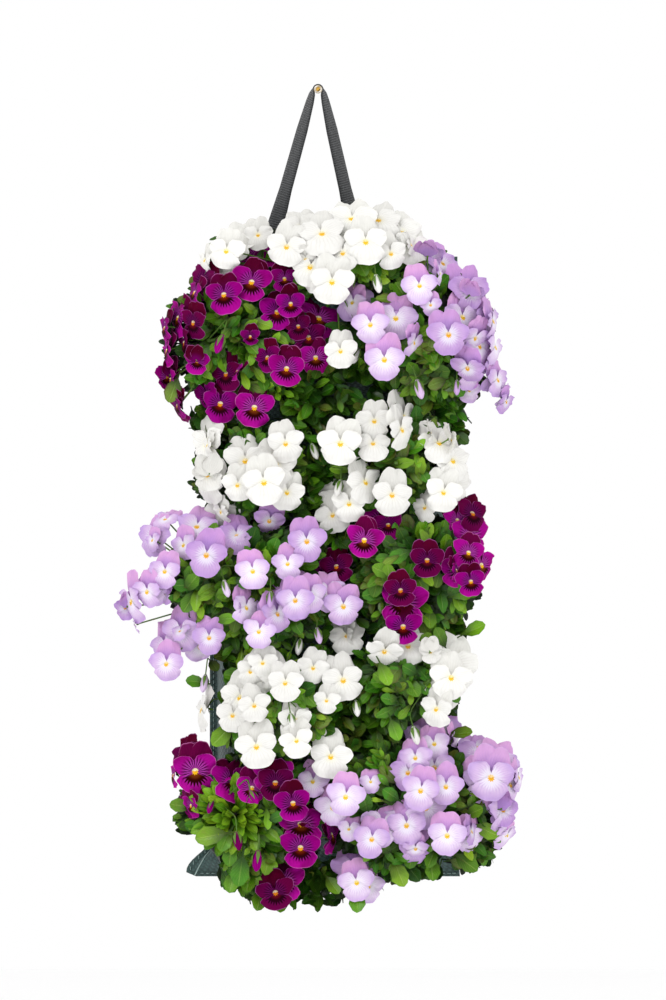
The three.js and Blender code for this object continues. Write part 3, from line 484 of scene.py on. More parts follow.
def makePetalPaint(colour):
    look = petalPaints[colour]
    paint, shader = finish(colour + "Petals", Roughness=0.6, Specular_IOR_Level=look["gloss"])
    petalUv = split(mapOf("uv"))
    facePlace = mapOf("face")
    faceXy = split(facePlace)
    kind, tone = attribute("kind"), attribute("tone")
    place = objectPlace()
    x, y = (times(minus(faceXy[k], 0.5), marks["faceSpan"]) for k in (0, 1))
    out = calc("SQRT", plus(times(x, x), times(y, y)))
    angle = calc("ARCTAN2", x, y)
    isUpper = calc("LESS_THAN", kind, 0.25)
    isFront = minus(1.0, isUpper)
    isLip = times(calc("GREATER_THAN", kind, 0.75), calc("LESS_THAN", kind, 1.5))
    mottle = noiseAt(place, 160.0, 2.0)
    soft = noiseAt(place, 55.0, 2.0)
    base = mix(isUpper, hexColour(look["lower"]), hexColour(look["upper"]))
    near = ramp(plus(out, times(soft, 0.12)), *look["glowReach"], 1.0, 0.0)
    keep = minus(1.0, times(isUpper, 0.75))
    base = tint(base, times(near, keep), look["glow"])
    if colour == "lavender":
        base = tint(base, times(ramp(tone, 0.35, 0.9, 0.0, 0.75), isFront), "e0d4ea")
        base = tint(base, times(isFront, ramp(petalUv[1], 0.55, 1.0, 0.0, 0.5)), "b086d4")
        patch = times(ramp(soft, 0.5, 0.72, 0.0, 0.32), ramp(out, 0.15, 0.35))
        base = tint(base, patch, "b88cd4")
        base = tint(base, ramp(tone, 0.1, 0.3, 0.4, 0.0), "c486d2")
        base = tint(base, times(isUpper, ramp(petalUv[1], 0.3, 0.85, 0.6, 0.0)), "aa80cc")
    if colour == "magenta":
        base = tint(base, times(isLip, ramp(petalUv[1], 0.35, 0.85, 0.0, 0.65)), "c010a8")
        base = tint(base, ramp(tone, 0.16, 0.5, 0.85, 0.0), "66001e")
        base = tint(base, times(ramp(tone, 0.5, 1.0, 0.0, 0.6), keep), "b010ac")
        base = tint(base, ramp(soft, 0.46, 0.7, 0.0, 0.5), "66004a")
        base = tint(base, times(isFront, ramp(out, 0.14, 0.38, 0.6, 0.0)), "600040")
    # veins fan out from the foot of each petal, and its edge is paler
    bend = times(noiseAt(facePlace, 9.0), 0.14)
    lines = calc("SINE", times(plus(petalUv[0], bend), fullTurn * look["veinCount"]))
    lines = ramp(lines, 0.2, 1.0)
    base = tint(base, times(lines, times(ramp(petalUv[1], 0.98, 0.3), look["veins"])), look["vein"])
    rim = calc("MAXIMUM", calc("ABSOLUTE", minus(times(petalUv[0], 2.0), 1.0)), petalUv[1])
    fringe = times(ramp(rim, 0.955, 0.995, 0.0, look["fringe"]), ramp(out, 0.2, 0.3))
    base = tint(base, fringe, look["edge"])
    # the halo with its ragged edge, and on magenta lips the dark blotch and hairs
    ripple = times(noiseAt(facePlace, 16.0), 4.0)
    whisker = calc("SINE", plus(times(angle, marks["whiskers"]), ripple))
    ragged = plus(out, times(whisker, marks["ragged"]))
    halo = times(ramp(ragged, *look["haloReach"], 0.75, 0.0), isFront)
    if colour == "magenta":
        halo = times(halo, ramp(tone, 0.3, 0.9, 0.1, 0.8))
    base = tint(base, halo, look["halo"])
    if colour == "magenta":
        hairs = times(ramp(whisker, 0.1, 0.75), ramp(out, *marks["hairs"], 0.95, 0.0))
        base = tint(base, times(hairs, isFront), "26001c")
        blotch = ramp(minus(out, times(whisker, marks["blotchRagged"])), *marks["blotch"], 1.0, 0.0)
        below = ramp(plus(y, calc("ABSOLUTE", times(x, 0.45))), 0.0, -0.03)
        base = mix(times(blotch, below, isLip), base,
                   mix(ramp(out, 0.08, 0.2), hexColour("6a0a08"), hexColour("2c0010")))
    # the yellow star, the pale beard above it, and the knob at the eye
    star = plus(out, times(calc("SINE", times(angle, marks["starPoints"])), 0.012))
    base = tint(base, times(ramp(star, *marks["star"], 1.0, 0.0), isFront), look["eye"])
    beard = times(ramp(y, 0.012, 0.03), ramp(out, *marks["beard"], 0.9, 0.0))
    base = tint(base, times(beard, isFront), look["cream"])
    knob = mix(ramp(petalUv[1], 0.3, 0.65), hexColour(look["eye"]), hexColour(look["cream"]))
    base = mix(calc("GREATER_THAN", kind, 1.5), base, knob)
    # each bloom has its own lightness and hue
    light = plus(times(tone, look["dark"]), times(mottle, 0.16))
    toned = shift(base, ramp(tone, 0.0, 1.0, *look["hues"]), plus(light, 0.98 - look["dark"]))
    height = plus(times(lines, 0.4), soft)
    dress(shader, toned, plus(times(soft, 0.15), 0.5), height, 0.0003, 0.5)
    return paint


# blooms: forms of petals in widths of the bloom, where kind tells the paint which petal it is
petalForms = {
    "upper": {"kind": 0.0, "base": (0.02, 0.0), "tip": (0.185, 0.645), "half": 0.305, "round": 0.36, "swing": 24},
    "side": {"kind": 0.5, "base": (0.0, 0.01), "tip": (0.49, 0.17), "half": 0.245, "round": 0.33, "swing": 14},
    "lip": {"kind": 1.0, "base": (0.0, 0.03), "tip": (0.0, -0.5), "half": 0.335, "round": 0.30, "swing": 14},
    "rows": 8, "columns": 10, "wideLip": {"magenta": 1.24, "white": 1.26, "lavender": 1.1},
    "sideLift": {"magenta": 0.09}, "notch": 0.035, "notchWide": 0.25, "roundPower": 2.4,
    "scallop": (0.014, 0.012), "scallopWaves": (3.4, 7, 8.5, 9), "ruffle": (0.034, 0.020),
    "ruffleWaves": (4.5, 6.3, 9.5, 9), "lengths": (0.94, 0.12), "breadths": (0.95, 0.12),
    "widths": [(0, 0.13), (0.18, 0.46), (0.42, 0.86), (0.68, 1.0), (1.0, 0.84)],
    "laid": (("upper", -1, -0.03), ("upper", 1, -0.012), ("side", -1, 0.0), ("side", 1, 0.006), ("lip", 1, 0.012)),
}
eyeKnob = {"wide": 0.023, "tall": 0.038, "deep": 0.022, "up": 0.016, "out": 0.045, "rings": 4, "sides": 7}
sepals = {"count": 5, "long": 0.2, "drop": (0.05, 0.1), "keel": 0.006,
          "widths": ((0, 0.018), (0.5, 0.032), (1.0, 0.003))}


def between(table, value):
    for (low, first), (high, second) in zip(table, table[1:]):
        if value <= high:
            t = (value - low) / (high - low)
            return first + (second - first) * t * t * (3 - 2 * t)
    return table[-1][1]


curls = {"upper": (-0.045, 0.06, 0.10, 0.03), "side": (0.015, 0.05, 0.035, 0.02),
         "lip": (0.03, 0.05, 1.15, 0.03, 0.06, 0.07)}


# how far a petal curls towards the viewer at a place along it and across it
def curlOf(kind, s, t, curl):
    if kind == 0.0:
        start, back, more, cup = curls["upper"]
        return start - (back + more * curl) * s * s + cup * s * (1 - t * t)
    if kind == 0.5:
        start, forward, back, cup = curls["side"]
        return start + forward * s - back * s * s + cup * math.sin(math.pi * s) * (1 - t * t)
    start, arch, early, back, more, sides = curls["lip"]
    return start + arch * math.sin(math.pi * min(1, s * early)) - (back + more * curl) * s * s - sides * t * t * s


def addPetal(sheaf, form, side, colour, span, eye, axes, layerOut, tone, wave):
    right, up, facing = axes
    isLip = form["kind"] == 1.0
    base, tip = Vector(form["base"]), Vector(form["tip"])
    base.x, tip.x = base.x * side, tip.x * side
    swing = math.radians((wave[0] - 0.5) * form["swing"])
    if form["kind"] == 0.5:
        tip.y += petalForms["sideLift"].get(colour, 0)
    heading = tip - base
    (shortest, longer), (narrowest, wider) = petalForms["lengths"], petalForms["breadths"]
    length = heading.length * (shortest + longer * wave[1])
    heading = Vector((heading.x * math.cos(swing) - heading.y * math.sin(swing),
                      heading.x * math.sin(swing) + heading.y * math.cos(swing))).normalized()
    across = Vector((heading.y, -heading.x))
    half = form["half"] * (petalForms["wideLip"][colour] if isLip else 1.0)
    half *= narrowest + wider * wave[2]
    (scallop, bite), (ripple, frill) = petalForms["scallop"], petalForms["ruffle"]
    slow, slowShift, fast, fastShift = petalForms["scallopWaves"]
    long, longShift, short, shortShift = petalForms["ruffleWaves"]
    grid, uvs, plane = [], [], []
    for i in range(petalForms["rows"] + 1):
        s = i / petalForms["rows"]
        row, uvRow, planeRow = [], [], []
        for j in range(petalForms["columns"] + 1):
            t = 2 * j / petalForms["columns"] - 1
            reach = 1 - form["round"] * abs(t) ** petalForms["roundPower"]
            if isLip:
                reach -= petalForms["notch"] * math.exp(-(t / petalForms["notchWide"]) ** 2)
            reach += (scallop * math.sin(slow * t + slowShift * wave[0])
                      + bite * math.sin(fast * t + fastShift * wave[1]))
            flat = base + heading * (length * s * reach) + across * (half * between(petalForms["widths"], s) * t)
            ruffle = ripple * s * s * math.sin(long * t + longShift * wave[1])
            ruffle += frill * s ** 3 * math.sin(short * t + shortShift * wave[2])
            out = curlOf(form["kind"], s, t, wave[0])
            row.append(eye + (right * flat.x + up * flat.y + facing * (out + ruffle + layerOut)) * span)
            uvRow.append((j / petalForms["columns"], s))
            planeRow.append((0.5 + flat.x / marks["faceSpan"], 0.5 + flat.y / marks["faceSpan"]))
        grid.append(row)
        uvs.append(uvRow)
        plane.append(planeRow)
    addGrid(sheaf, grid, uvs, kind=form["kind"], tone=tone, plane=plane)


def addEye(sheaf, span, eye, axes, tone):
    right, up, facing = axes
    rings, sides = eyeKnob["rings"], eyeKnob["sides"]
    grid = []
    for i in range(rings + 1):
        lift = math.pi * i / rings
        grid.append([eye + (right * (eyeKnob["wide"] * math.sin(lift) * math.cos(-a))
                            + up * (eyeKnob["up"] - eyeKnob["tall"] * math.cos(lift))
                            + facing * (eyeKnob["out"] + eyeKnob["deep"] * math.sin(lift) * math.sin(-a))) * span
                     for a in circle(sides)])
    addGrid(sheaf, grid, around=True, kind=2.0, tone=tone, plane=[[(0.5, 0.5)] * sides] * (rings + 1),
            uvs=[[(k / sides, i / rings) for k in range(sides)] for i in range(rings + 1)])


def addSepals(greens, span, back, axes):
    right, up, facing = axes
    start, bend = sepals["drop"]
    for k in range(sepals["count"]):
        angle = fullTurn * (k + 0.5) / sepals["count"]
        out = right * math.sin(angle) + up * math.cos(angle)
        side = out.cross(facing)
        rows = []
        for s, wide in sepals["widths"]:
            middle = back + (out * (sepals["long"] * s) - facing * (start + bend * s * s)) * span
            rows.append([middle - side * wide * span, middle - facing * sepals["keel"] * span,
                         middle + side * wide * span])
        addGrid(greens, rows, tone=0.6)


# a stalk behind its bloom, in widths of the bloom
stalkForm = {"in": 0.07, "up": 0.05, "straight": (0.15, 0.5), "hookIn": 0.22, "hookUp": (0.14, 0.08), "bend": 0.45,
             "bendIn": 0.08, "bendUp": 0.05, "swell": 1.5, "steps": 4, "sides": 5}
bloomFaces = []


def allBlooms():
    for plant in plants:
        for bloom in [*sum(plant["shoots"], []), *moreBlooms.get(plant["name"], [])]:
            yield eyeAt(plant, bloom[0], bloom[1], bloom[5]), bush["petalReach"] * bloom[2]


# true where a bloom's back touches the petals of another
def isCrowded(eye, back):
    return any((eye - other).length > 0.5 and math.hypot(back.x - other.x, back.z - other.z) < reach
               and abs(back.y - other.y) < bush["behind"] for other, reach in allBlooms())


# where a bloom's stalk ends inside the bush
def forkOf(middle, bloom):
    across, up = (bush["gather"] * (bloom[k] - middle[2 * k]) for k in (0, 1))
    return Vector((middle.x + across, middle.y + 6, middle.z + up - 4))


def addBloom(petals, greens, plant, bloom, fork, roll):
    across, up, span, turn, tilt, layer = bloom
    eye = eyeAt(plant, across, up, layer)
    bloomFaces.append((eye, bush["leafReach"] * span))
    axes = axesOf(facingOf(turn, tilt), roll)
    tone = draw()
    for form, side, lift in petalForms["laid"]:
        addPetal(petals, petalForms[form], side, plant["petals"], span, eye, axes, lift, tone,
                 [draw(), draw(), draw()])
    addEye(petals, span, eye, axes, tone)
    _, upwards, facing = axes
    back = eye - facing * (stalkForm["in"] * span) + upwards * (stalkForm["up"] * span)
    # a bloom with others behind it has a stalk that goes straight into the bush
    if isCrowded(eye, back):
        route = [back, *[back.lerp(fork, t) for t in stalkForm["straight"]]]
    else:
        addSepals(greens, span, back, axes)
        tall, rise = stalkForm["hookUp"]
        hook = back - facing * (stalkForm["hookIn"] * span) + (upwards * tall + Vector((0, 0, rise))) * span
        bend = hook.lerp(fork, stalkForm["bend"]) - facing * (stalkForm["bendIn"] * span)
        route = [back, hook, bend + Vector((0, 0, stalkForm["bendUp"] * span))]
    route = smoothRoute([*route, fork], stalkForm["steps"])
    radii = [bush["stalk"] * (stalkForm["swell"] if k < 2 else 1.0) for k in range(len(route))]
    addTube(greens, route, radii, stalkForm["sides"], tone=0.3 + 0.5 * draw(), kind=1.0)


# buds by plant: across, up, length, lean to the right in degrees, how far out
buds = {
    "top_left": [(-76, -198, 17, -20, 2)],
    "top_middle": [(46, -150, 16, 12, 2), (33, -209, 14, -25, 1)],
    "top_right": [(79, -234, 17, 15, 2), (111, -234, 13, 0, 1)],
    "first_left": [(-5, -285, 14, 20, 1)],
    "first_right": [(18, -314, 15, -15, 1)],
    "second_left": [(-90, -470, 15, -10, 1), (-75, -394, 15, 15, 1), (-38, -403, 14, 0, 1), (-1, -432, 14, 12, 2)],
    "third_left": [(-14, -441, 14, -10, 1), (-22, -500, 13, 10, 1)],
    "third_right": [(30, -490, 14, 8, 2), (76, -511, 16, 15, 2)],
    "low_left": [(-65, -595, 16, 8, 3), (-48, -610, 18, -5, 3), (-54, -562, 13, 30, 2), (-84, -570, 12, -20, 1)],
}


# a bud in lengths of the bud: radii at stations along it, and its sepals as along, out and half width
budForm = {"stations": (0, 0.25, 0.5, 0.75, 0.93, 1), "radii": (0.1, 0.2, 0.22, 0.19, 0.1, 0.02), "sides": 8,
           "stalk": 0.85, "forward": -0.45, "sepals": ((-0.06, 0.05, 0.05), (0.3, 0.25, 0.09), (0.72, 0.24, 0.005))}


def addBud(petals, greens, plant, bud, fork):
    across, up, length, lean, out = bud
    place = eyeAt(plant, across, up, out)
    lean = math.radians(lean)
    heading = Vector((math.sin(lean), budForm["forward"], -math.cos(lean))).normalized()
    route = [place + heading * (length * s) for s in budForm["stations"]]
    addTube(petals, route, [length * r for r in budForm["radii"]], budForm["sides"], tone=draw(), kind=0.5)
    side, other = turned(heading, Vector((0, 0, 1)))
    for angle in circle(sepals["count"]):
        spread = side * math.cos(angle) + other * math.sin(angle)
        beside = heading.cross(spread)
        rows = [[place + heading * (length * s) + spread * (length * o) + beside * (length * w * m)
                 for m in (-1, 0, 1)] for s, o, w in budForm["sepals"]]
        addGrid(greens, rows, tone=0.75)
    hook = place - heading * (0.55 * length) + Vector((0, 0.1 * length, 0.25 * length))
    route = smoothRoute([place, hook, hook.lerp(fork, 0.5), fork], stalkForm["steps"])
    addTube(greens, route, [bush["stalk"] * budForm["stalk"]] * len(route), stalkForm["sides"], tone=0.5, kind=1.0)


# blooms behind the others that fill the plants out: across, up, width, turn, tilt, how far out
moreBlooms = {
    "top_middle": [
        (-65, -123, 34, -10, 30, 0), (-13, -113, 35, 0, 35, 0), (3, -118, 38, 5, 30, 1), (27, -106, 40, 0, 38, 0),
        (48, -107, 38, 10, 38, 0), (66, -116, 36, 20, 30, 0), (76, -127, 34, 30, 20, 1),
        (-80, -138, 34, -35, 20, 0), (-6, -144, 34, -10, 5, 1)],
    "top_left": [
        (-92, -155, 32, -55, 15, 0), (-81, -146, 30, -25, 35, 0), (-48, -136, 36, 0, 45, 0),
        (-33, -141, 36, 10, 35, 0), (-111, -184, 32, -70, 0, 0), (-106, -204, 30, -75, -10, 0),
        (-120, -210, 28, -80, 0, 0), (-117, -233, 28, -75, -10, 0), (-111, -254, 30, -70, -25, 0),
        (-73, -229, 28, -35, -5, 0), (0, -185, 36, 25, 25, -1), (-33, -180, 30, 10, 10, 0),
        (-8, -200, 30, 15, 0, 0), (-88, -246, 28, -50, -20, 0)],
    "top_right": [
        (87, -140, 34, 20, 35, 0), (99, -141, 32, 45, 20, 0), (121, -163, 38, 35, 12, 0), (135, -187, 32, 60, 5, 0),
        (115, -184, 34, 35, 5, 0), (128, -207, 34, 50, 0, 0), (141, -208, 28, 70, 0, 0),
        (122, -228, 30, 40, -10, 0), (138, -229, 30, 65, -10, 0), (148, -244, 26, 75, -15, 0),
        (62, -185, 34, 5, 10, 0), (28, -170, 34, 0, 10, 0), (50, -199, 30, -5, 0, 0)],
    "first_left": [
        (-88, -285, 36, -50, 0, 0), (-86, -316, 34, -50, -5, 0), (-58, -299, 36, -5, 8, 0),
        (-34, -302, 36, 5, 5, 0), (-76, -341, 30, -20, -20, 0)],
    "first_right": [
        (68, -264, 36, 60, 5, 0), (96, -285, 34, 30, 20, 0), (107, -299, 34, 35, 10, 0), (108, -317, 36, 45, 0, 0),
        (37, -316, 34, 40, 5, 0), (17, -331, 34, 0, 0, 0), (44, -285, 28, 0, 15, 0)],
    "second_left": [
        (-131, -360, 32, -40, 10, 0), (-97, -352, 34, 0, 30, 0), (-65, -359, 30, 15, 20, 0),
        (-131, -400, 30, -35, -5, 0), (-148, -411, 38, -66, -16, 1), (-109, -435, 34, -30, -10, 0),
        (-121, -447, 32, -40, -10, 0), (-95, -447, 28, 20, -20, 0), (-58, -416, 28, 40, 0, 1),
        (-34, -419, 32, -10, 0, 0), (-18, -409, 34, 5, 5, 0), (9, -405, 30, 15, 10, 0)],
    "second_right": [
        (68, -412, 38, 0, 15, 0), (51, -347, 32, 0, 15, 0), (9, -389, 30, -25, 0, 0), (121, -358, 34, 35, 5, 0),
        (130, -382, 30, 50, -5, 0), (112, -386, 30, 20, 0, 0), (123, -341, 30, 40, 15, 0)],
    "third_left": [
        (-46, -469, 34, 0, 0, 0), (-34, -470, 30, 5, 0, 0), (-62, -488, 34, -15, 0, 0), (-18, -506, 28, 10, 0, 0),
        (23, -439, 30, 0, 20, 0)],
    "third_right": [(72, -447, 32, 0, 10, 0), (108, -463, 42, 18, 6, 0), (100, -484, 32, 20, 0, 0)],
    "low_left": [
        (-102, -572, 28, -60, 0, 0), (-106, -538, 32, -50, 5, 0), (-69, -555, 34, 30, 20, 0),
        (-53, -560, 26, 10, 0, 0), (-37, -548, 34, 5, 20, 0), (-14, -590, 38, 10, 25, 0), (10, -601, 24, 70, 0, 1),
        (-28, -636, 34, 0, 20, 0)],
    "low_right": [
        (98, -515, 34, 10, 25, 0), (83, -520, 32, -10, 15, 0), (128, -534, 34, 15, 30, 0),
        (146, -541, 34, 35, 10, 0), (153, -558, 30, 55, 0, 0), (132, -555, 34, 15, 0, 0), (72, -548, 30, -10, 5, 0),
        (93, -544, 32, 5, 5, 0), (68, -588, 36, -20, 0, 0), (86, -576, 34, 5, 0, 0), (147, -580, 32, 50, 0, 0),
        (149, -597, 28, 60, -20, 0), (121, -599, 26, 30, -10, 0), (77, -609, 26, 0, -20, 0),
        (51, -590, 34, 0, 5, 0), (12, -576, 30, -10, 0, 0), (28, -625, 34, -5, 15, 0), (40, -639, 28, 20, -10, 0)],
}


def rollOf():
    return (draw() - 0.5) * 2 * bush["roll"]


def makeBlooms():
    draws["now"] = draws["seed"]
    rolls = [[[rollOf() for _ in shoot] for shoot in plant["shoots"]] for plant in plants]
    paints = {colour: makePetalPaint(colour) for colour in petalPaints}
    stemPaint = makeStemPaint()
    for plant, plantRolls in zip(plants, rolls):
        _, middle, radii = coreOf(plant)
        paint, slot = paints[plant["petals"]], plant["petals"] + "_petals"
        greens = newSheaf()
        tips = []
        for number, (shoot, shootRolls) in enumerate(zip(plant["shoots"], plantRolls), 1):
            petals = newSheaf()
            eyes = [eyeAt(plant, bloom[0], bloom[1], bloom[5]) for bloom in shoot]
            towards = sum(eyes, Vector()) / len(eyes) - middle
            towards.y = min(towards.y, -radii.y)
            towards /= Vector([a / b for a, b in zip(towards, radii)]).length
            tip = middle + towards * bush["fork"]
            tips.append((tip, middle + towards * 0.3))
            for bloom, roll in zip(shoot, shootRolls):
                addBloom(petals, greens, plant, bloom, forkOf(middle, bloom), roll)
            node = f"{plant['name']}_blooms_{number}"
            settle(makePiece(node + "_petals", petals, paint), slot, node)
        if plant["name"] in moreBlooms:
            petals = newSheaf()
            for bloom in moreBlooms[plant["name"]]:
                addBloom(petals, greens, plant, bloom, forkOf(middle, bloom), rollOf())
            makePiece(plant["name"] + "_more_petals", petals, paint, slot)
        for tip, root in tips:
            addTube(greens, smoothRoute([tip, tip.lerp(root, 0.5) + Vector((0, 0, -3)), root], 4),
                    [bush["stem"]] * 9, 6, tone=0.4, kind=1.0)
        if plant["name"] in buds:
            tipsOfBuds = newSheaf()
            for bud in buds[plant["name"]]:
                place = eyeAt(plant, bud[0], bud[1], 0)
                nearest = min((tip for tip, _ in tips), key=lambda tip: (tip - place).length)
                addBud(tipsOfBuds, greens, plant, bud, nearest)
            makePiece(plant["name"] + "_buds", tipsOfBuds, paint, slot)
        makePiece(plant["name"] + "_stalks", greens, stemPaint, "foliage")
    print("blooms:", sum(len(shoot) for plant in plants for shoot in plant["shoots"]))


# leaves
leafForms = {
    "broad": {"widths": [(0, 0.022), (0.27, 0.03), (0.42, 0.15), (0.6, 0.235), (0.76, 0.235), (0.89, 0.185),
                         (0.96, 0.11), (1, 0.015)],
              "notch": 0.022, "arch": 0.20, "fold": 0.14},
    "oval": {"widths": [(0, 0.02), (0.27, 0.03), (0.45, 0.12), (0.63, 0.175), (0.8, 0.15), (0.93, 0.085), (1, 0.01)],
             "notch": 0.018, "arch": 0.30, "fold": 0.2},
    "spoon": {"widths": [(0, 0.025), (0.35, 0.035), (0.55, 0.08), (0.75, 0.135), (0.89, 0.12), (0.96, 0.07),
                         (1, 0.01)],
              "notch": 0.010, "arch": 0.34, "fold": 0.24},
    "rows": (0, 0.27, 0.4, 0.52, 0.64, 0.76, 0.87, 0.95, 1.0), "columns": (-1, -0.45, 0, 0.45, 1),
    "blade": (0.35, 0.98), "wave": (0.02, 7), "foldShare": 1.6,
}
# perPlant is for a plant whose reach across and up multiply to plantReach
leafRule = {"perPlant": 600, "plantReach": 3600, "under": 0.3, "spread": 0.95, "size": (15, 28), "sway": 14,
            "seed": 7, "lowest": -655, "edge": 28, "petalGap": 7, "outer": 0.8, "outerSize": 0.75,
            "underLevel": (0.25, 0.3), "topLevel": (0.62, 0.42), "bright": (0.06, 0.6, 0.4), "forms": (0.45, 0.8),
            "leastRise": 0.12, "leastOut": 0.25, "outwards": 1.1, "droop": -0.12, "rise": 0.15,
            "flatShare": (0.75, 0.3), "outShare": (0.75, 0.5), "rootAt": 0.72, "outerRootAt": 0.95,
            "face": (0, -0.5, 0.35), "triesPerLeaf": 2, "pushRoot": 8, "pushTip": 12}
# air beside the plants that stays clear of leaves: left, right, low, high
clearAir = [(102, 200, -150, 0), (128, 200, -166, 0), (-200, -92, -138, 0), (-200, -102, -164, 0),
            (-200, -127, -180, 0), (-60, 110, -120, 0), (-200, -74, -700, -592), (-200, -58, -700, -636),
            (93, 113, -700, -609), (113, 200, -700, -622), (128, 200, -180, 0), (136, 200, -262, 0),
            (150, 200, -612, -500), (140, 200, -640, -590), (66, 116, -700, -634), (64, 200, -112, 0),
            (84, 200, -130, 0), (-200, -58, -118, 0), (-200, -114, -480, -330)]
# gaps in the bush that show the pouch: left, right, low, high
bareCloth = [(-96, -74, -560, -440), (-88, -44, -606, -558)]
# more leaves over the pouch by plant: across, up, reach across and up, leaves, how far out
fillers = {
    "third_right": [
        (104, -432, 12, 16, 26, 26), (36, -520, 36, 30, 50, 24), (36, -506, 28, 34, 70, 30),
        (96, -528, 26, 20, 40, 24)],
    "low_left": [
        (4, -640, 36, 14, 46, 18), (30, -630, 30, 12, 40, 14), (-48, -630, 16, 14, 24, 16),
        (-6, -566, 26, 26, 50, 26), (4, -628, 30, 18, 30, 16)],
    "low_right": [(128, -606, 12, 14, 20, 20), (76, -618, 26, 10, 30, 14)],
    "first_right": [(102, -266, 18, 24, 36, 28), (92, -262, 26, 26, 40, 24)],
    "first_left": [
        (-10, -290, 34, 30, 70, 22), (18, -242, 46, 34, 90, 26), (-84, -264, 20, 26, 30, 20),
        (4, -322, 26, 34, 70, 26)],
    "second_left": [(-20, -350, 40, 26, 60, 22)],
    "second_right": [(16, -350, 30, 24, 50, 24), (22, -396, 26, 34, 50, 30)],
    "top_right": [(14, -196, 44, 36, 120, 24)],
    "top_left": [(-4, -236, 34, 30, 60, 26)],
    "third_left": [(24, -452, 30, 26, 60, 28), (-56, -452, 30, 22, 40, 28), (-26, -552, 44, 16, 40, 28)],
}
# leaves given one by one, by plant: across, up, length, lean of the tip in degrees, form, how far out
pickedLeaves = {
    "second_right": [(45, -310, 27, 175, 0, 2)],
    "third_right": [
        (128, -430, 27, 60, 0, 2), (98, -436, 24, -20, 0, 2), (86, -440, 22, 30, 0, 2), (50, -473, 27, 170, 0, 3),
        (107, -488, 22, 150, 0, 2), (62, -516, 24, 160, 0, 3), (118, -520, 26, 95, 0, 1)],
    "third_left": [(-101, -474, 22, -80, 0, 1), (-78, -521, 30, -140, 0, 2)],
    "low_left": [
        (-89, -599, 34, -100, 0, 3), (-58, -630, 33, 178, 0, 3), (-70, -638, 26, -165, 0, 1),
        (-112, -572, 24, -75, 0, 2), (-76, -604, 26, -150, 0, 1), (-72, -616, 26, -170, 0, 1),
        (-66, -628, 26, -175, 0, 1), (-26, -654, 27, 170, 0, 2), (-45, -654, 26, -175, 0, 2),
        (12, -642, 24, 150, 0, 2)],
    "low_right": [
        (138, -594, 28, 110, 0, 1), (120, -623, 30, 130, 0, 2), (62, -634, 30, 170, 0, 2),
        (34, -654, 28, 175, 0, 1)],
    "top_left": [(-120, -243, 28, -150, 0, 2)],
    "top_right": [(60, -262, 26, 170, 0, 3)],
    "first_left": [(-75, -222, 26, 160, 0, 3)],
}
# tufts of narrow leaves that stand out to the viewer, by plant: across, up, leaves, length, spread in degrees
tufts = {
    "low_left": [(-66, -581, 90, 33, 78)],
    "top_left": [(-34, -240, 14, 26, 70)],
    "third_right": [(84, -470, 12, 22, 75)],
    "second_left": [(-60, -440, 10, 24, 80)],
}


def makeLeafPaint():
    paint, shader = finish("pansyLeaf", Specular_IOR_Level=0.3)
    uv = split(mapOf("uv"))
    tone, kind = attribute("tone"), attribute("kind")
    place = objectPlace()
    off = calc("ABSOLUTE", minus(uv[0], 0.5))
    # a leaf's tone runs from near black to bright yellow-green and carries the painted shade of leaves deep in the
    # bush
    base = mix(ramp(tone, 0.0, 0.3), hexColour("081802"), hexColour("234c06"))
    base = tint(base, ramp(tone, 0.3, 0.6), "447c0c")
    base = tint(base, ramp(tone, 0.6, 1.0), "82b020")
    old = times(ramp(kind, 0.8, 0.9), calc("LESS_THAN", kind, 1.5), ramp(tone, 0.1, 0.4))
    base = tint(base, times(old, 0.5), "77702c")
    base = tint(base, times(old, ramp(off, 0.3, 0.5, 0.0, 0.6)), "5a3a26")
    cloud = noiseAt(place, 90.0)
    base = tint(base, ramp(cloud, 0.45, 0.75, 0.0, 0.45), "2a5a0c")
    base = tint(base, times(ramp(cloud, 0.3, 0.42, 1.0, 0.0), 0.25), "6d6a2c")
    slant = plus(uv[1], times(off, -0.75))
    ribs = ramp(calc("SINE", times(slant, 55.0)), 0.75, 1.0)
    midrib = ramp(off, 0.012, 0.06, 1.0, 0.0)
    veins = calc("MAXIMUM", midrib, times(ribs, 0.45))
    base = tint(base, times(veins, times(tone, 0.42)), "9cbb55")
    base = tint(base, ramp(off, 0.44, 0.5, 0.0, 0.35), "3c4a12")
    under = put("ShaderNodeNewGeometry", output=6)
    base = tint(base, times(under, times(tone, 0.5)), "8fa06a")
    # the dark core inside each bush is painted near black, as shade
    base = tint(base, calc("GREATER_THAN", kind, 2.5), "0b1803")
    height = minus(times(cloud, 0.6), veins)
    # painted shade: a leaf is dark where it leaves the bush and bright at its tip
    bright = ramp(uv[1], 0.25, 0.85, 0.3, 1.12)
    shade = shift(base, ramp(kind, 0.0, 1.0, 0.486, 0.516), bright)
    dress(shader, shade, ramp(cloud, 0.2, 0.8, 0.22, 0.42), height, 0.0004, 0.6)
    return paint


def makeStemPaint():
    paint, shader = finish("stalkGreen", Roughness=0.5, Specular_IOR_Level=0.35)
    place = objectPlace()
    tone = attribute("tone")
    base = mix(tone, hexColour("2c5014"), hexColour("668c30"))
    streak = noiseAt(place, 260.0)
    base = tint(base, ramp(streak, 0.5, 0.7, 0.0, 0.4), "5d4a2a")
    dress(shader, base, None, streak, 0.0001, 0.5)
    return paint


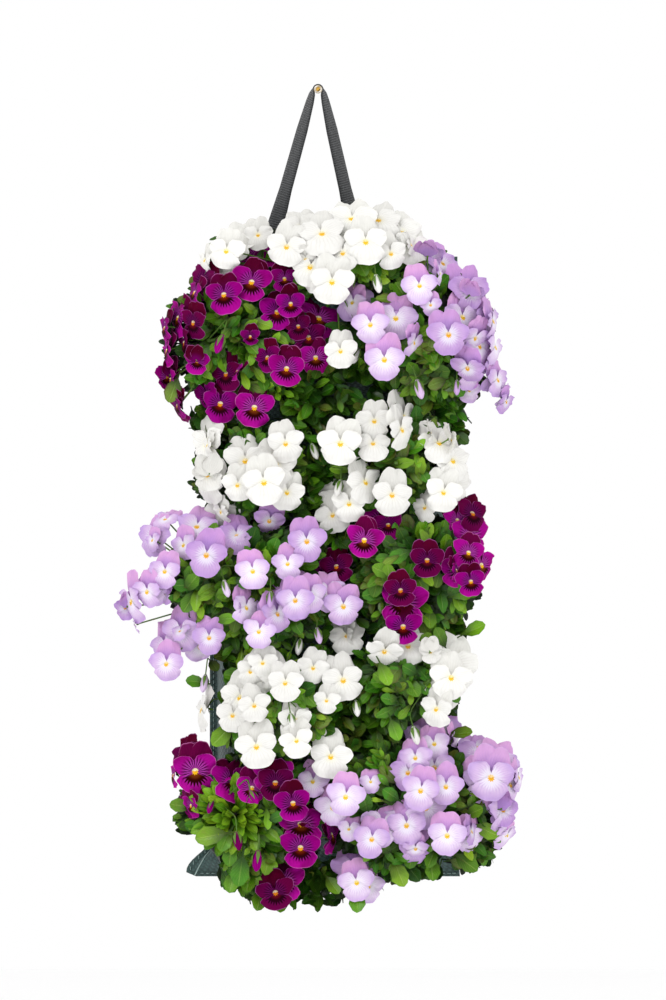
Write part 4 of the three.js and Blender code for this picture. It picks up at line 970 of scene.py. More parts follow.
def leafShape(name, look, paint):
    sheaf = newSheaf()
    grid, uvs = [], []
    (start, end), (wave, waves) = leafForms["blade"], leafForms["wave"]
    for i, s in enumerate(leafForms["rows"]):
        wide = between(look["widths"], s)
        if start < s < end:
            wide += look["notch"] * (0.5 if i % 2 else -0.5)
        lift = -look["arch"] * (s - start) ** 2 + wave * math.sin(waves * s)
        # one metre long, because each place gives the leaf its size in metres
        grid.append([(wide * t / mm, s / mm, (lift + look["fold"] * abs(wide * t) * leafForms["foldShare"]) / mm)
                     for t in leafForms["columns"]])
        uvs.append([(0.5 + 0.5 * t, s) for t in leafForms["columns"]])
    addGrid(sheaf, grid, uvs)
    piece = makePiece(name, sheaf, paint)
    for label in ("kind", "tone"):
        piece.data.attributes.remove(piece.data.attributes[label])
    return piece


# Geometry Nodes: one of several shapes on each place, turned and sized by the place's own values
def repeatTree(name, shapes, paint, sway, seed):
    tree = wiring["tree"] = bpy.data.node_groups.new(name, "GeometryNodeTree")
    tree.interface.new_socket("Places", in_out="INPUT", socket_type="NodeSocketGeometry")
    sockets = {}
    for label, kind, value in (("Size", "NodeSocketFloat", 1.0), ("Sway", "NodeSocketFloat", math.radians(sway)),
                               ("Seed", "NodeSocketInt", seed)):
        socket = tree.interface.new_socket(label, in_out="INPUT", socket_type=kind)
        socket.default_value = value
        sockets[label] = (socket.identifier, value)
    tree.interface.new_socket("Pieces", in_out="OUTPUT", socket_type="NodeSocketGeometry")
    given = tree.nodes.new("NodeGroupInput").outputs
    joined = tree.nodes.new("GeometryNodeJoinGeometry")
    for shape in reversed(shapes):
        one = put("GeometryNodeObjectInfo", {"Object": shape, "As Instance": True}, "Geometry")
        tree.links.new(one, joined.inputs[0])
    kinds = (("heading", "FLOAT_VECTOR"), ("size", "FLOAT"), ("shape", "INT"))
    heading, size, shape = (put("GeometryNodeInputNamedAttribute", {"Name": label}, data_type=kind)
                            for label, kind in kinds)
    turn = put("FunctionNodeEulerToRotation", [heading])
    low, high = (put("ShaderNodeVectorMath", {0: (end, end, end), 3: given["Sway"]}, operation="SCALE")
                 for end in (-1, 1))
    chance = put("FunctionNodeRandomValue", {0: low, 1: high, "Seed": given["Seed"]}, data_type="FLOAT_VECTOR")
    wobble = put("FunctionNodeEulerToRotation", [chance])
    turn = put("FunctionNodeRotateRotation", [turn, wobble], rotation_space="LOCAL")
    scale = put("ShaderNodeMath", [size, given["Size"]], operation="MULTIPLY")
    spread = put("GeometryNodeInstanceOnPoints",
                 {"Points": given["Places"], "Instance": joined.outputs[0], "Pick Instance": True,
                  "Instance Index": shape, "Rotation": turn, "Scale": scale})
    whole = put("GeometryNodeRealizeInstances", [spread])
    painted = put("GeometryNodeSetMaterial", {"Geometry": whole, "Material": paint})
    putNode("NodeGroupOutput", [painted])
    return tree, sockets


def spreadPieces(name, places, tree, sockets, seedShift=0):
    mesh = bpy.data.meshes.new(name + "Places")
    mesh.from_pydata([tuple(c * mm for c in place["at"]) for place in places], [], [])
    headings = [c for place in places for c in place["heading"]]
    mesh.attributes.new("heading", "FLOAT_VECTOR", "POINT").data.foreach_set("vector", headings)
    for label, kind in (("size", "FLOAT"), ("shape", "INT"), ("tone", "FLOAT"), ("kind", "FLOAT")):
        values = [place.get(label, 0) for place in places]
        mesh.attributes.new(label, kind, "POINT").data.foreach_set("value", values)
    holder = hang(name + "Places", mesh)
    change = holder.modifiers.new("repeat", "NODES")
    change.node_group = tree
    for label, (identifier, value) in sockets.items():
        change[identifier] = value + (seedShift if label == "Seed" else 0)
    ready = bpy.context.evaluated_depsgraph_get()
    result = bpy.data.meshes.new_from_object(holder.evaluated_get(ready))
    holder.modifiers.remove(change)
    bpy.data.objects.remove(holder)
    result.name = name
    for label in ("heading", "size", "shape"):
        if label in result.attributes:
            result.attributes.remove(result.attributes[label])
    return hang(name, result)


def headingOf(along, facing):
    side = along.cross(facing).normalized()
    return Matrix((side, along, side.cross(along))).transposed().to_euler()


# true where a place lies in the air that stays clear
def inClearAir(spot, *boxes):
    return any(a < spot.x < b and c < spot.z < d for a, b, c, d in [*clearAir, *boxes])


# how far forward a leaf starts: a leaf by the pouch's edges starts as far out as those further in
def footAt(across, up):
    inside = min(max(across, leftEdge(up) + leafRule["edge"]), rightEdge(up) - leafRule["edge"])
    return min(frontAt(across, up), frontAt(inside, up))


# true where a leaf would cut through a bloom
def hidesBloom(root, tip):
    for eye, reach in bloomFaces:
        for spot in (tip, (root + tip) / 2):
            near = abs(spot.x - eye.x) < reach and math.hypot(spot.x - eye.x, spot.z - eye.z - 0.1 * reach) < reach
            if near and spot.y < eye.y + leafRule["petalGap"]:
                return True
    return False


def leafPlace(root, along, facing, length, shape, tone):
    along = along.normalized()
    facing = (facing - along * facing.dot(along)).normalized()
    return {"at": root, "heading": headingOf(along, facing), "size": length * mm, "shape": shape, "tone": tone,
            "kind": draw()}


def bushPlaces(plant):
    (cx, cz), (rx, rz) = plant["middle"], plant["reach"]
    front = coreOf(plant)[0]
    dull, shadeByDepth, byTone = leafRule["bright"]
    shortest, longest = leafRule["size"]
    (flatLeast, flatMore), (outMost, outLess) = leafRule["flatShare"], leafRule["outShare"]
    places = []
    count, misses = int(leafRule["perPlant"] * rx * rz / leafRule["plantReach"]), 0
    while len(places) < count:
        angle, far = fullTurn * draw(), math.sqrt(draw()) * leafRule["spread"]
        depth, spin, lean, chance, grow, tone = draw(), draw(), draw(), draw(), draw(), draw()
        under, inside = chance < leafRule["under"], far < leafRule["outer"]
        x, z = cx + rx * far * math.cos(angle), cz + rz * far * math.sin(angle)
        if inClearAir(Vector((x, 0, z)), *bareCloth) or z < leafRule["lowest"]:
            continue
        # the leaf's tip lies on the bush's mound, or below it for the leaves under the others, which are painted dark
        # as shade
        rise = max(leafRule["leastRise"], math.sqrt(max(0, 1 - min(1, far * far))))
        foot = min(footAt(x, z), front + bush["rimDrop"])
        low, more = leafRule["underLevel"] if under else leafRule["topLevel"]
        tip = Vector((x, foot - plant["mound"] * rise * (low + more * depth), z))
        forward = max(rise, leafRule["leastOut"]) * leafRule["outwards"]
        out = Vector(((x - cx) / rx, -forward, (z - cz) / rz)).normalized()
        spun = fullTurn * spin
        flat = Vector((math.cos(spun), 0, math.sin(spun)))
        flat += Vector((math.cos(angle), 0, math.sin(angle) + leafRule["rise"])) * (0.5 + far)
        flatLean, outLean = flatLeast + flatMore * lean, outMost - outLess * lean
        along = flat.normalized() * flatLean + out * outLean + Vector((0, 0, leafRule["droop"]))
        length = (shortest + (longest - shortest) * grow) * (1.0 if inside else leafRule["outerSize"])
        root = tip - along.normalized() * (leafRule["rootAt" if inside else "outerRootAt"] * length)
        root.y = min(root.y, foot + 1, 0)
        if hidesBloom(root, tip):
            # after many misses the leaf goes behind the bloom
            misses += 1
            if misses < leafRule["triesPerLeaf"] * count:
                continue
            root.y, tip.y = root.y + leafRule["pushRoot"], tip.y + leafRule["pushTip"]
            along = tip - root
        shape = sum(tone >= limit for limit in leafRule["forms"])
        # painted shade: the deeper a leaf sits in the bush the darker it is, and the leaves under the others are
        # darkest
        brightness = 0.0 if under else dull + shadeByDepth * depth * depth + byTone * tone * depth * depth
        places.append(leafPlace(root, along, out + Vector(leafRule["face"]), length, shape, min(1.0, brightness)))
    return places


# how the leaves of fillers, tufts and pickedLeaves lie, how long they are and how bright
fillRule = {"length": (16, 11), "level": (0.35, 0.65), "forward": (-0.5, -0.4), "upShare": 0.8, "droop": 0.15,
            "rootAt": 0.7, "face": (0, -1, 0.5), "broadShare": 0.5, "bright": (0.1, 0.5)}
tuftRule = {"behind": 14, "turn": 2.39996, "wobble": 0.4, "face": (-0.9, 0.5), "start": 2, "size": (0.65, 0.45, 0.1),
            "bright": (0.62, 0.38), "hue": 0.7}
pickedRule = {"forward": -0.25, "rootAt": 0.75, "face": (0.1, -1, 0.45), "bright": (0.62, 0.3)}


def fillPlaces(_, across, up, reachAcross, reachUp, count, out):
    (shortest, more), (least, outer), (dull, light) = (fillRule[key] for key in ("length", "level", "bright"))
    forward, further = fillRule["forward"]
    places = []
    for _ in range(count):
        angle, far, depth, spin, tone = fullTurn * draw(), math.sqrt(draw()), draw(), draw(), draw()
        x, z = across + reachAcross * far * math.cos(angle), up + reachUp * far * math.sin(angle)
        foot = footAt(x, z)
        tip = Vector((x, foot - out * (least + outer * depth), z))
        spun = fullTurn * spin
        rise = fillRule["upShare"] * math.sin(spun) - fillRule["droop"]
        along = Vector((math.cos(spun), forward + further * depth, rise)).normalized()
        length = shortest + more * draw()
        root = tip - along * (fillRule["rootAt"] * length)
        root.y = min(root.y, foot - 1)
        if hidesBloom(root, tip) or inClearAir(tip):
            continue
        # painted shade: a filler leaf is darker the nearer it lies to the cloth and brighter further out
        places.append(leafPlace(root, along, Vector(fillRule["face"]), length, int(tone >= fillRule["broadShare"]),
                                dull + light * depth * tone + dull * depth))
    return places


def tuftPlaces(plant, across, up, count, length, spread):
    root = eyeAt(plant, across, up, 0) + Vector((0, tuftRule["behind"], 0))
    (least, more, chance), (dull, light) = tuftRule["size"], tuftRule["bright"]
    forward, rise = tuftRule["face"]
    places = []
    for k in range(count):
        lean = math.radians(spread) * math.sqrt((k + 0.5) / count)
        # this turn spreads the leaves evenly
        spin = k * tuftRule["turn"] + tuftRule["wobble"] * draw()
        along = Vector((math.sin(lean) * math.cos(spin), -math.cos(lean), math.sin(lean) * math.sin(spin)))
        facing = Vector((-math.cos(spin), forward, -math.sin(spin) + rise))
        size = length * (least + more * (k / count) + chance * draw())
        place = leafPlace(root + along * tuftRule["start"], along, facing, size, 2, dull + light * draw())
        place["kind"] *= tuftRule["hue"]
        places.append(place)
    return places


# leaves in the pouch's mouth, clear of the cloth and of the strap, and along the stems that come out of it
mouthRule = {"leaves": 60, "wide": 1.6, "low": -150, "rise": 10, "length": (12, 8), "back": 8, "middle": 8,
             "half": 84, "strapAt": 2, "strapHalf": 22, "strapFront": -30,
             "stemLeaves": 60, "stemFront": -9, "stemLow": -142, "stemRise": 22, "stemWide": 5, "stemLength": (13, 8)}


def mouthPlaces(plant):
    _, middle, radii = coreOf(plant)
    rule, places = mouthRule, []
    shortest, more = rule["length"]
    for _ in range(rule["leaves"]):
        x = middle.x + (draw() - 0.5) * rule["wide"] * radii.x
        y = middle.y + (2 - middle.y) * draw()
        along = Vector(((draw() - 0.5) * 1.6, (draw() - 0.6) * 1.2, 0.5 + 0.5 * draw()))
        length = shortest + more * draw()
        root = Vector((x, y, rule["low"] + rule["rise"] * draw()))
        inCloth = root.y + along.y * length > rule["back"] or abs(x - rule["middle"]) > rule["half"]
        inStrap = abs(x - rule["strapAt"]) < rule["strapHalf"] and root.y > rule["strapFront"]
        if inCloth or inStrap or inClearAir(root + along * length):
            continue
        places.append(leafPlace(root, along, Vector((draw() - 0.5, -0.7, 0.5)), length, 1, 0.2 + 0.5 * draw()))
    shortest, more = rule["stemLength"]
    for _ in range(rule["stemLeaves"]):
        spin, at = fullTurn * draw(), draw()
        root = Vector((middle.x + rule["stemWide"] * math.cos(spin),
                       rule["stemFront"] + (middle.y - rule["stemFront"]) * at,
                       rule["stemLow"] + rule["stemRise"] * math.sin(math.pi * at / 1.4)))
        along = Vector((math.cos(spin), 0.3 - 0.7 * at, 0.25 + 0.5 * math.sin(spin)))
        if inClearAir(root + along * 16):
            continue
        places.append(leafPlace(root, along, Vector((0, -0.6, 1)), shortest + more * draw(), 1, 0.15 + 0.5 * draw()))
    return places


core = {"rings": 12, "sides": 20, "rough": 0.12, "grain": 2.3, "flat": 0.45, "back": 9, "slide": 0.01}
neck = {"mouth": 4.4, "slit": 4.2, "strand": 0.26, "twist": 0.12, "sides": 6, "steps": 5,
        "mouthStops": ((-9, -184), (-9, -150), (-13, -132)), "middle": -9, "over": -128, "inCore": 0.1,
        "slitStops": (18, 4), "toCore": 0.9, "wave": (1.5, 5), "apart": (0.6, 0.25), "alongStrand": 1.7,
        "nextStrand": 2, "oval": (0.6, 0.4), "bright": (0.12, 0.25)}


# the dark inside of a bush: a near-black shell that stands for the shade deep in it
def addCoreShade(sheaf, plant):
    _, middle, radii = coreOf(plant)
    grid = []
    for i in range(core["rings"] + 1):
        lift = math.pi * i / core["rings"]
        row = []
        for a in circle(core["sides"]):
            out = Vector((math.sin(lift) * math.cos(a), math.sin(lift) * math.sin(a), -math.cos(lift)))
            rough = 1 + core["rough"] * noise.noise(out * core["grain"] + middle * core["slide"])
            row.append(middle + Vector((out.x * radii.x * rough, out.y * radii.y * core["flat"] + core["back"],
                                        out.z * radii.z * rough)))
        grid.append(row)
    addGrid(sheaf, grid, around=True, kind=3.0, tone=0.1)


# the twisted stems from the compost into a bush
def addNeck(sheaf, plant):
    _, middle, radii = coreOf(plant)
    if plant.get("mouth"):
        over = ((middle.y + neck["middle"]) / 2, neck["over"])
        stops = [*neck["mouthStops"], over, (middle.y, middle.z + radii.z * neck["inCore"])]
    else:
        front = frontAt(middle.x, middle.z)
        wave, every = neck["wave"]
        deeps = [*[front + step for step in neck["slitStops"]], middle.y + radii.y * neck["toCore"], middle.y]
        stops = [(y, middle.z + wave * math.sin(y / every)) for y in deeps]
    grownBy = neck["mouth" if plant.get("mouth") else "slit"]
    route = smoothRoute([Vector((middle.x, y, z)) for y, z in stops], neck["steps"])
    (least, more), (deep, tall), (dull, light) = neck["apart"], neck["oval"], neck["bright"]
    for strand in range(bush["strands"]):
        first = fullTurn * strand / bush["strands"]
        moved = []
        for k, point in enumerate(route):
            turn = first + neck["twist"] * k
            wide = grownBy * (least + more * math.sin(neck["alongStrand"] * k + neck["nextStrand"] * strand))
            moved.append(point + Vector((math.cos(turn), deep * math.sin(turn), tall * math.sin(turn))) * wide)
        addTube(sheaf, moved, [grownBy * neck["strand"]] * len(moved), neck["sides"], tone=dull + light * draw())


def joinPieces(first, *others):
    with bpy.context.temp_override(active_object=first, object=first, selected_editable_objects=[first, *others],
                                   selected_objects=[first, *others]):
        bpy.ops.object.join()
    return first


def pickedPlaces(plant, across, up, length, turn, shape, out):
    tip = eyeAt(plant, across, up, out)
    turn = math.radians(turn)
    dull, light = pickedRule["bright"]
    along = Vector((math.sin(turn), pickedRule["forward"], math.cos(turn))).normalized()
    root = tip - along * length * pickedRule["rootAt"]
    return [leafPlace(root, along, Vector(pickedRule["face"]), length, shape, dull + light * draw())]


def makeFoliage():
    paint = makeLeafPaint()
    shapes = [leafShape(name + "Leaf", leafForms[name], paint) for name in ("broad", "oval", "spoon")]
    tree, sockets = repeatTree("leavesOnBush", shapes, paint, leafRule["sway"], leafRule["seed"])
    total = 0
    for order, plant in enumerate(plants):
        places = bushPlaces(plant)
        for table, makePlaces in ((pickedLeaves, pickedPlaces), (fillers, fillPlaces), (tufts, tuftPlaces)):
            for row in table.get(plant["name"], []):
                places += makePlaces(plant, *row)
        if plant.get("mouth"):
            places += mouthPlaces(plant)
        total += len(places)
        name = plant["name"] + "_foliage"
        piece = spreadPieces(name, places, tree, sockets, order)
        inner = newSheaf()
        addCoreShade(inner, plant)
        addNeck(inner, plant)
        joinPieces(piece, makePiece(name + "Inner", inner, paint))
        pressToWall(piece)
        settle(piece, "foliage", plant["name"] + "_leaves")
    for shape in shapes:
        bpy.data.objects.remove(shape)
    print("leaves:", total)


# the woven cloth of the pouch
cloth = {"tape": 2.4, "colour": "1e3836", "light": "3c5b58", "dark": "0f2220", "sheen": "5f8a84", "dust": "8a8f80",
         "columns": 60, "rows": 150, "backColumns": 44, "backRows": 75, "frontIn": -0.55, "backIn": 0.6,
         "flatSeam": (0, 2, 4), "slitPull": (0.55, 1.25), "slitProud": 0.6, "slitCut": 0.98}
# soft folds of the front, none of them at the hem
folds = {"calm": 40, "across": 0.02, "up": 0.012, "slice": 3.1, "broad": 1.6, "fine": 4.2, "fineShare": 0.5,
         "slopeAcross": 0.09, "slopeUp": 0.05, "slopeBend": 2, "slopeShare": 0.5}
sheets = {"pouch_front": {"node": "pouch_front_sheet", "flat": (0.252, 0.512), "thick": 0.5, "towards": -1},
          "pouch_back": {"node": "pouch_back_sheet", "flat": (0.200, 0.498), "thick": 0.55, "towards": 1}}
uvUnit = 100  # millimetres of cloth or webbing to one unit of its map


def makeClothPaint():
    paint, shader = finish("wovenCloth", Specular_IOR_Level=0.45, Sheen_Weight=0.12, Sheen_Roughness=0.5)
    place = split(mapOf("uv"))
    u, v = (times(place[k], uvUnit / cloth["tape"]) for k in (0, 1))
    humpU, humpV = (calc("SINE", times(calc("FRACT", way), math.pi)) for way in (u, v))
    odd = calc("MODULO", plus(calc("FLOOR", u), calc("FLOOR", v)), 2.0)
    odd = calc("ABSOLUTE", odd)
    weave = plus(times(odd, humpU), times(minus(1.0, odd), humpV))
    where = objectPlace()
    cloud = noiseAt(where, 22.0)
    dust = noiseAt(where, 150.0)
    base = mix(ramp(weave, 0.1, 0.9), hexColour(cloth["dark"]), hexColour(cloth["colour"]))
    base = tint(base, ramp(cloud, 0.45, 0.78, 0.0, 0.45), cloth["light"])
    base = tint(base, times(odd, 0.18), cloth["sheen"])
    base = tint(base, ramp(dust, 0.6, 0.8, 0.0, 0.12), cloth["dust"])
    height = plus(weave, times(cloud, 2.5))
    dress(shader, base, ramp(cloud, 0.3, 0.7, 0.32, 0.5), height, 0.0003, 0.8)
    return paint


def slitPlaces():
    return [coreOf(plant)[1] for plant in plants if not plant.get("mouth")]


def foldAt(across, up):
    spot = Vector((across * folds["across"], up * folds["up"], folds["slice"]))
    fold = noise.noise(spot * folds["broad"]) + folds["fineShare"] * noise.noise(spot * folds["fine"])
    slope = across * folds["slopeAcross"] + up * folds["slopeUp"] + folds["slopeBend"] * noise.noise(spot)
    return fold + folds["slopeShare"] * math.sin(slope)


def clothGrid(front):
    rows, columns = (cloth["rows"], cloth["columns"]) if front else (cloth["backRows"], cloth["backColumns"])
    (wide, tall), (near, away) = pouch["slit"], cloth["slitPull"]
    grid, uvs = [], []
    levels = [pouch["rim"] + (pouch["hem"] - pouch["rim"]) * i / rows for i in range(rows + 1)]
    for up in levels:
        left, right = leftEdge(up), rightEdge(up)
        middle, half = (left + right) / 2, (right - left) / 2 - pouch["seam"]
        row, uvRow, run, last = [], [], left - pouch["left"], None
        stops = [(left + step, None) for step in cloth["flatSeam"]]
        if front:
            angles = [math.pi * (k / columns - 0.5) for k in range(columns + 1)]
            stops += [(middle + half * math.sin(a), a) for a in angles]
        else:
            stops += [(middle - half + 2 * half * k / columns, None) for k in range(columns + 1)]
        stops += [(right - step, None) for step in reversed(cloth["flatSeam"])]
        for across, angle in stops:
            deep = seamDepth + cloth["frontIn" if front else "backIn"]
            if angle is not None:
                out = pouch["depth"] * fullness(up) * max(0.0, math.cos(angle)) ** pouch["round"]
                loose = math.cos(angle) * min(1, (up - pouch["hem"]) / folds["calm"])
                deep = min(deep, seamDepth - out + pouch["crease"] * foldAt(across, up) * loose)
            point = Vector((across, deep, up))
            if last is not None:
                run += (point - last).length
            last = point
            row.append(point)
            uvRow.append((run / uvUnit, up / uvUnit + 10))
        grid.append(row if front else row[::-1])
        uvs.append(uvRow if front else uvRow[::-1])
    for slit in slitPlaces() if front else []:
        # the rows near a slit are drawn to its edge, which stands a little proud
        for row in grid:
            for k, point in enumerate(row):
                far = math.hypot((point.x - slit.x) / (wide / 2), (point.z - slit.z) / (tall / 2))
                if near < far < away:
                    pull = 1.0 / far
                    row[k] = Vector((slit.x + (point.x - slit.x) * pull, point.y - cloth["slitProud"],
                                     slit.z + (point.z - slit.z) * pull))
    return grid, uvs


def inSlit(corners):
    middle = sum((Vector(corner) for corner in corners), Vector()) / 4
    wide, tall = pouch["slit"]
    return any(math.hypot((middle.x - slit.x) / (wide / 2), (middle.z - slit.z) / (tall / 2)) < cloth["slitCut"]
               for slit in slitPlaces())


def makePouch():
    paint = makeClothPaint()
    for name, look in sheets.items():
        front = look["towards"] < 0
        sheaf = newSheaf()
        grid, uvs = clothGrid(front)
        addGrid(sheaf, grid[::-1], uvs[::-1])
        if front:
            sheaf["faces"] = [face for face in sheaf["faces"] if not inSlit([sheaf["points"][k] for k in face])]
        piece = makePiece(name, sheaf, paint)
        area = sum(face.area for face in piece.data.polygons)
        thick = piece.modifiers.new("thick", "SOLIDIFY")
        thick.thickness, thick.offset = look["thick"] * mm, look["towards"]
        settle(piece, "pouch_cloth", look["node"])
        print(name, "area", round(area, 4), "of", round(look["flat"][0] * look["flat"][1], 4))


# stitches along the seams, the mouth and the strap's feet
stitches = {"length": 3.0, "every": 4.4, "inFrom": 3, "aboveHem": 2.5, "sway": 3, "seed": 11, "footLength": 2.2,
            "sideDepths": ((-0.75, -1), (1.1, 1)), "hemDepths": ((-0.8, -1), (1.1, 1)), "footDepth": -1.95,
            "footRows": (-138, -157), "footAcross": (-5, -2.5, 0, 2.5, 5), "earCord": 0.55,
            "hemEnds": (5, 4), "bow": (90, 40), "radii": (70, 120, 70), "earOut": 0.9,
            "earSeam": [(-99, -631), (-95, -623), (-90, -615), (-84, -609)]}


def makeThreadPaint():
    paint, shader = finish("seamThread", Roughness=0.7)
    place = objectPlace()
    grain = noiseAt(place, 900.0)
    base = mix(grain, hexColour("5d7a76"), hexColour("b4c8c3"))
    dress(shader, base, None, grain, 0.0001, 0.6)
    return paint


def seamStations():
    lines = []
    count = int((pouch["rim"] - pouch["hem"]) / stitches["every"])
    for k in range(count):
        up = pouch["rim"] - stitches["inFrom"] - k * stitches["every"]
        if up < pouch["hem"] + stitches["inFrom"]:
            break
        for across in (leftEdge(up) + stitches["inFrom"], rightEdge(up) - stitches["inFrom"]):
            lines += [(Vector((across, seamDepth + deep, up)), Vector((0, 0, 1)), side)
                      for deep, side in stitches["sideDepths"]]
    start, end = stitches["hemEnds"]
    across, up = leftEdge(pouch["hem"]) + start, pouch["hem"] + stitches["aboveHem"]
    while across < rightEdge(pouch["hem"]) - end:
        lines += [(Vector((across, seamDepth + deep, up)), Vector((1, 0, 0)), side)
                  for deep, side in stitches["hemDepths"]]
        across += stitches["every"]
    return lines


# one thread stitch a metre long, sized by its place
def stitchShape(paint):
    sheaf = newSheaf()
    bow, sunk = stitches["bow"]
    route = [Vector((0, s / mm, bow * (1 - (2 * s) ** 2) - sunk)) for s in (-0.5, 0, 0.5)]
    addTube(sheaf, route, stitches["radii"], 5)
    return makePiece("stitch", sheaf, paint)


def makeStitches():
    paint = makeThreadPaint()
    shape = stitchShape(paint)
    tree, sockets = repeatTree("stitchesOnSeam", [shape], paint, stitches["sway"], stitches["seed"])
    places = [{"at": at, "heading": headingOf(along, Vector((0, side, 0))), "size": stitches["length"] * mm,
               "tone": draw()} for at, along, side in seamStations()]
    for foot in (strap["footLeft"], strap["footRight"]):
        for up in stitches["footRows"]:
            for across in stitches["footAcross"]:
                at = Vector((foot + across, seamDepth + stitches["footDepth"], up))
                places.append({"at": at, "heading": headingOf(Vector((1, 0, 0)), Vector((0, -1, 0))),
                               "size": stitches["footLength"] * mm, "tone": draw()})
    piece = spreadPieces("seam_stitches", places, tree, sockets)
    cord = newSheaf()
    route = smoothRoute([Vector((x, frontAt(x, z) - stitches["earOut"], z)) for x, z in stitches["earSeam"]], 4)
    addTube(cord, route, [stitches["earCord"]] * len(route), 6)
    joinPieces(piece, makePiece("earSeam", cord, paint))
    bpy.data.objects.remove(shape)
    settle(piece, "pouch_cloth")
    print("stitches:", len(places))


# the strap and the nail
strap = {"width": 15, "thick": 1.5, "rim": -134, "end": -162, "footLeft": -41, "footRight": 34, "clear": 0.3,
         "steps": 60, "bends": 16, "footSteps": 5, "edge": (0.4, 0.3), "flat": 3, "rib": 1.9,
         "dark": "252628", "light": "494b4d",
         "turns": [(0, 0), (0.012, 6), (0.03, 15), (0.08, 22), (0.25, 34), (0.6, 40), (0.8, 60), (0.92, 71), (1, 90)]}
nail = {"head": 3.4, "thick": 1.7, "shank": 2.6, "front": -9.6, "sides": 32, "bevel": 0.3,
        "face": ((0, 0.7), (1.3, 0.7), (1.8, 0.5), (2.1, 0.08), (2.5, 0), (3.0, 0.1)), "rim": (0.6, 1.2),
        "step": 0.05}
loopRadius = nail["shank"] + strap["clear"] + strap["thick"] / 2


def turnAt(along):
    for (low, first), (high, second) in zip(strap["turns"], strap["turns"][1:]):
        if along <= high:
            return math.radians(first + (second - first) * (along - low) / (high - low))


# one leg from the nail to its foot: places and the direction of the webbing's width, which turns on the way
def strapLeg(side, foot, slope):
    deep = seamDepth - strap["clear"] - strap["thick"] / 2
    start = Vector((side * loopRadius * math.cos(slope), 0, loopRadius * math.sin(slope)))
    leg = Vector((foot, deep, strap["rim"])) - start
    outwards = Vector((-leg.z, 0, leg.x)).normalized() * side
    stations = []
    for k in range(strap["steps"] + 1):
        angle = turnAt(k / strap["steps"])
        width = Vector((0, math.cos(angle), 0)) + outwards * math.sin(angle)
        stations.append((start + leg * (k / strap["steps"]), width))
    for k in range(1, strap["footSteps"] + 1):
        up = strap["rim"] + (strap["end"] - strap["rim"]) * k / strap["footSteps"]
        stations.append((Vector((foot, deep, up)), Vector((side, 0, 0))))
    return stations


def makeWebbingPaint():
    paint, shader = finish("webbing", Roughness=0.75, Specular_IOR_Level=0.25, Sheen_Weight=0.2)
    uv = split(mapOf("uv"))
    ribs = calc("SINE", times(uv[1], fullTurn * uvUnit / strap["rib"]))
    twill = calc("SINE", times(plus(uv[0], times(uv[1], 2.0)), 110.0))
    grain = noiseAt(objectPlace(), 700.0)
    base = mix(ramp(ribs, -0.6, 0.8), hexColour(strap["dark"]), hexColour(strap["light"]))
    base = tint(base, ramp(grain, 0.5, 0.8, 0.0, 0.5), "6a6c6e")
    edge = calc("ABSOLUTE", minus(uv[0], 0.5))
    base = tint(base, ramp(edge, 0.4, 0.47, 0.0, 0.5), "2c2d2f")
    dress(shader, base, None, plus(ribs, times(twill, 0.35)), 0.0004, 0.8)
    return paint


def makeStrap():
    slopes = [math.atan((abs(foot) - loopRadius) / -strap["rim"]) for foot in (strap["footLeft"], strap["footRight"])]
    bends = []
    for k in range(1, strap["bends"]):
        angle = math.pi - slopes[0] - (math.pi - slopes[0] - slopes[1]) * k / strap["bends"]
        bends.append((Vector((math.cos(angle) * loopRadius, 0, math.sin(angle) * loopRadius)), Vector((0, 1, 0))))
    stations = [*strapLeg(-1, strap["footLeft"], slopes[0])[::-1], *bends,
                *strapLeg(1, strap["footRight"], slopes[1])]
    half, thick, flat = strap["width"] / 2, strap["thick"] / 2, strap["flat"]
    bevel, low = strap["edge"]
    under = [(-half, -low), (-half + bevel, -thick), (-flat, -thick), (0, -thick), (flat, -thick),
             (half - bevel, -thick), (half, -low)]
    outline = under + [(across, -out) for across, out in reversed(under)]
    grid, uvs, run = [], [], 0.0
    for k, (at, width) in enumerate(stations):
        before, after = stations[max(0, k - 1)][0], stations[min(len(stations) - 1, k + 1)][0]
        along = (after - before).normalized()
        across = (width - along * width.dot(along)).normalized()
        normal = along.cross(across)
        if k:
            run += (at - stations[k - 1][0]).length
        grid.append([at + across * a + normal * n for a, n in outline])
        uvs.append([(0.5 + a / strap["width"], run / uvUnit) for a, n in outline])
    grid = [[stations[0][0]] * len(outline), *grid, [stations[-1][0]] * len(outline)]
    uvs = [uvs[0], *uvs, uvs[-1]]
    sheaf = newSheaf()
    addGrid(sheaf, grid, uvs, around=True)
    settle(makePiece("strap_webbing", sheaf, makeWebbingPaint()), "webbing", "hanging_strap")
    print("strap stations:", len(stations))


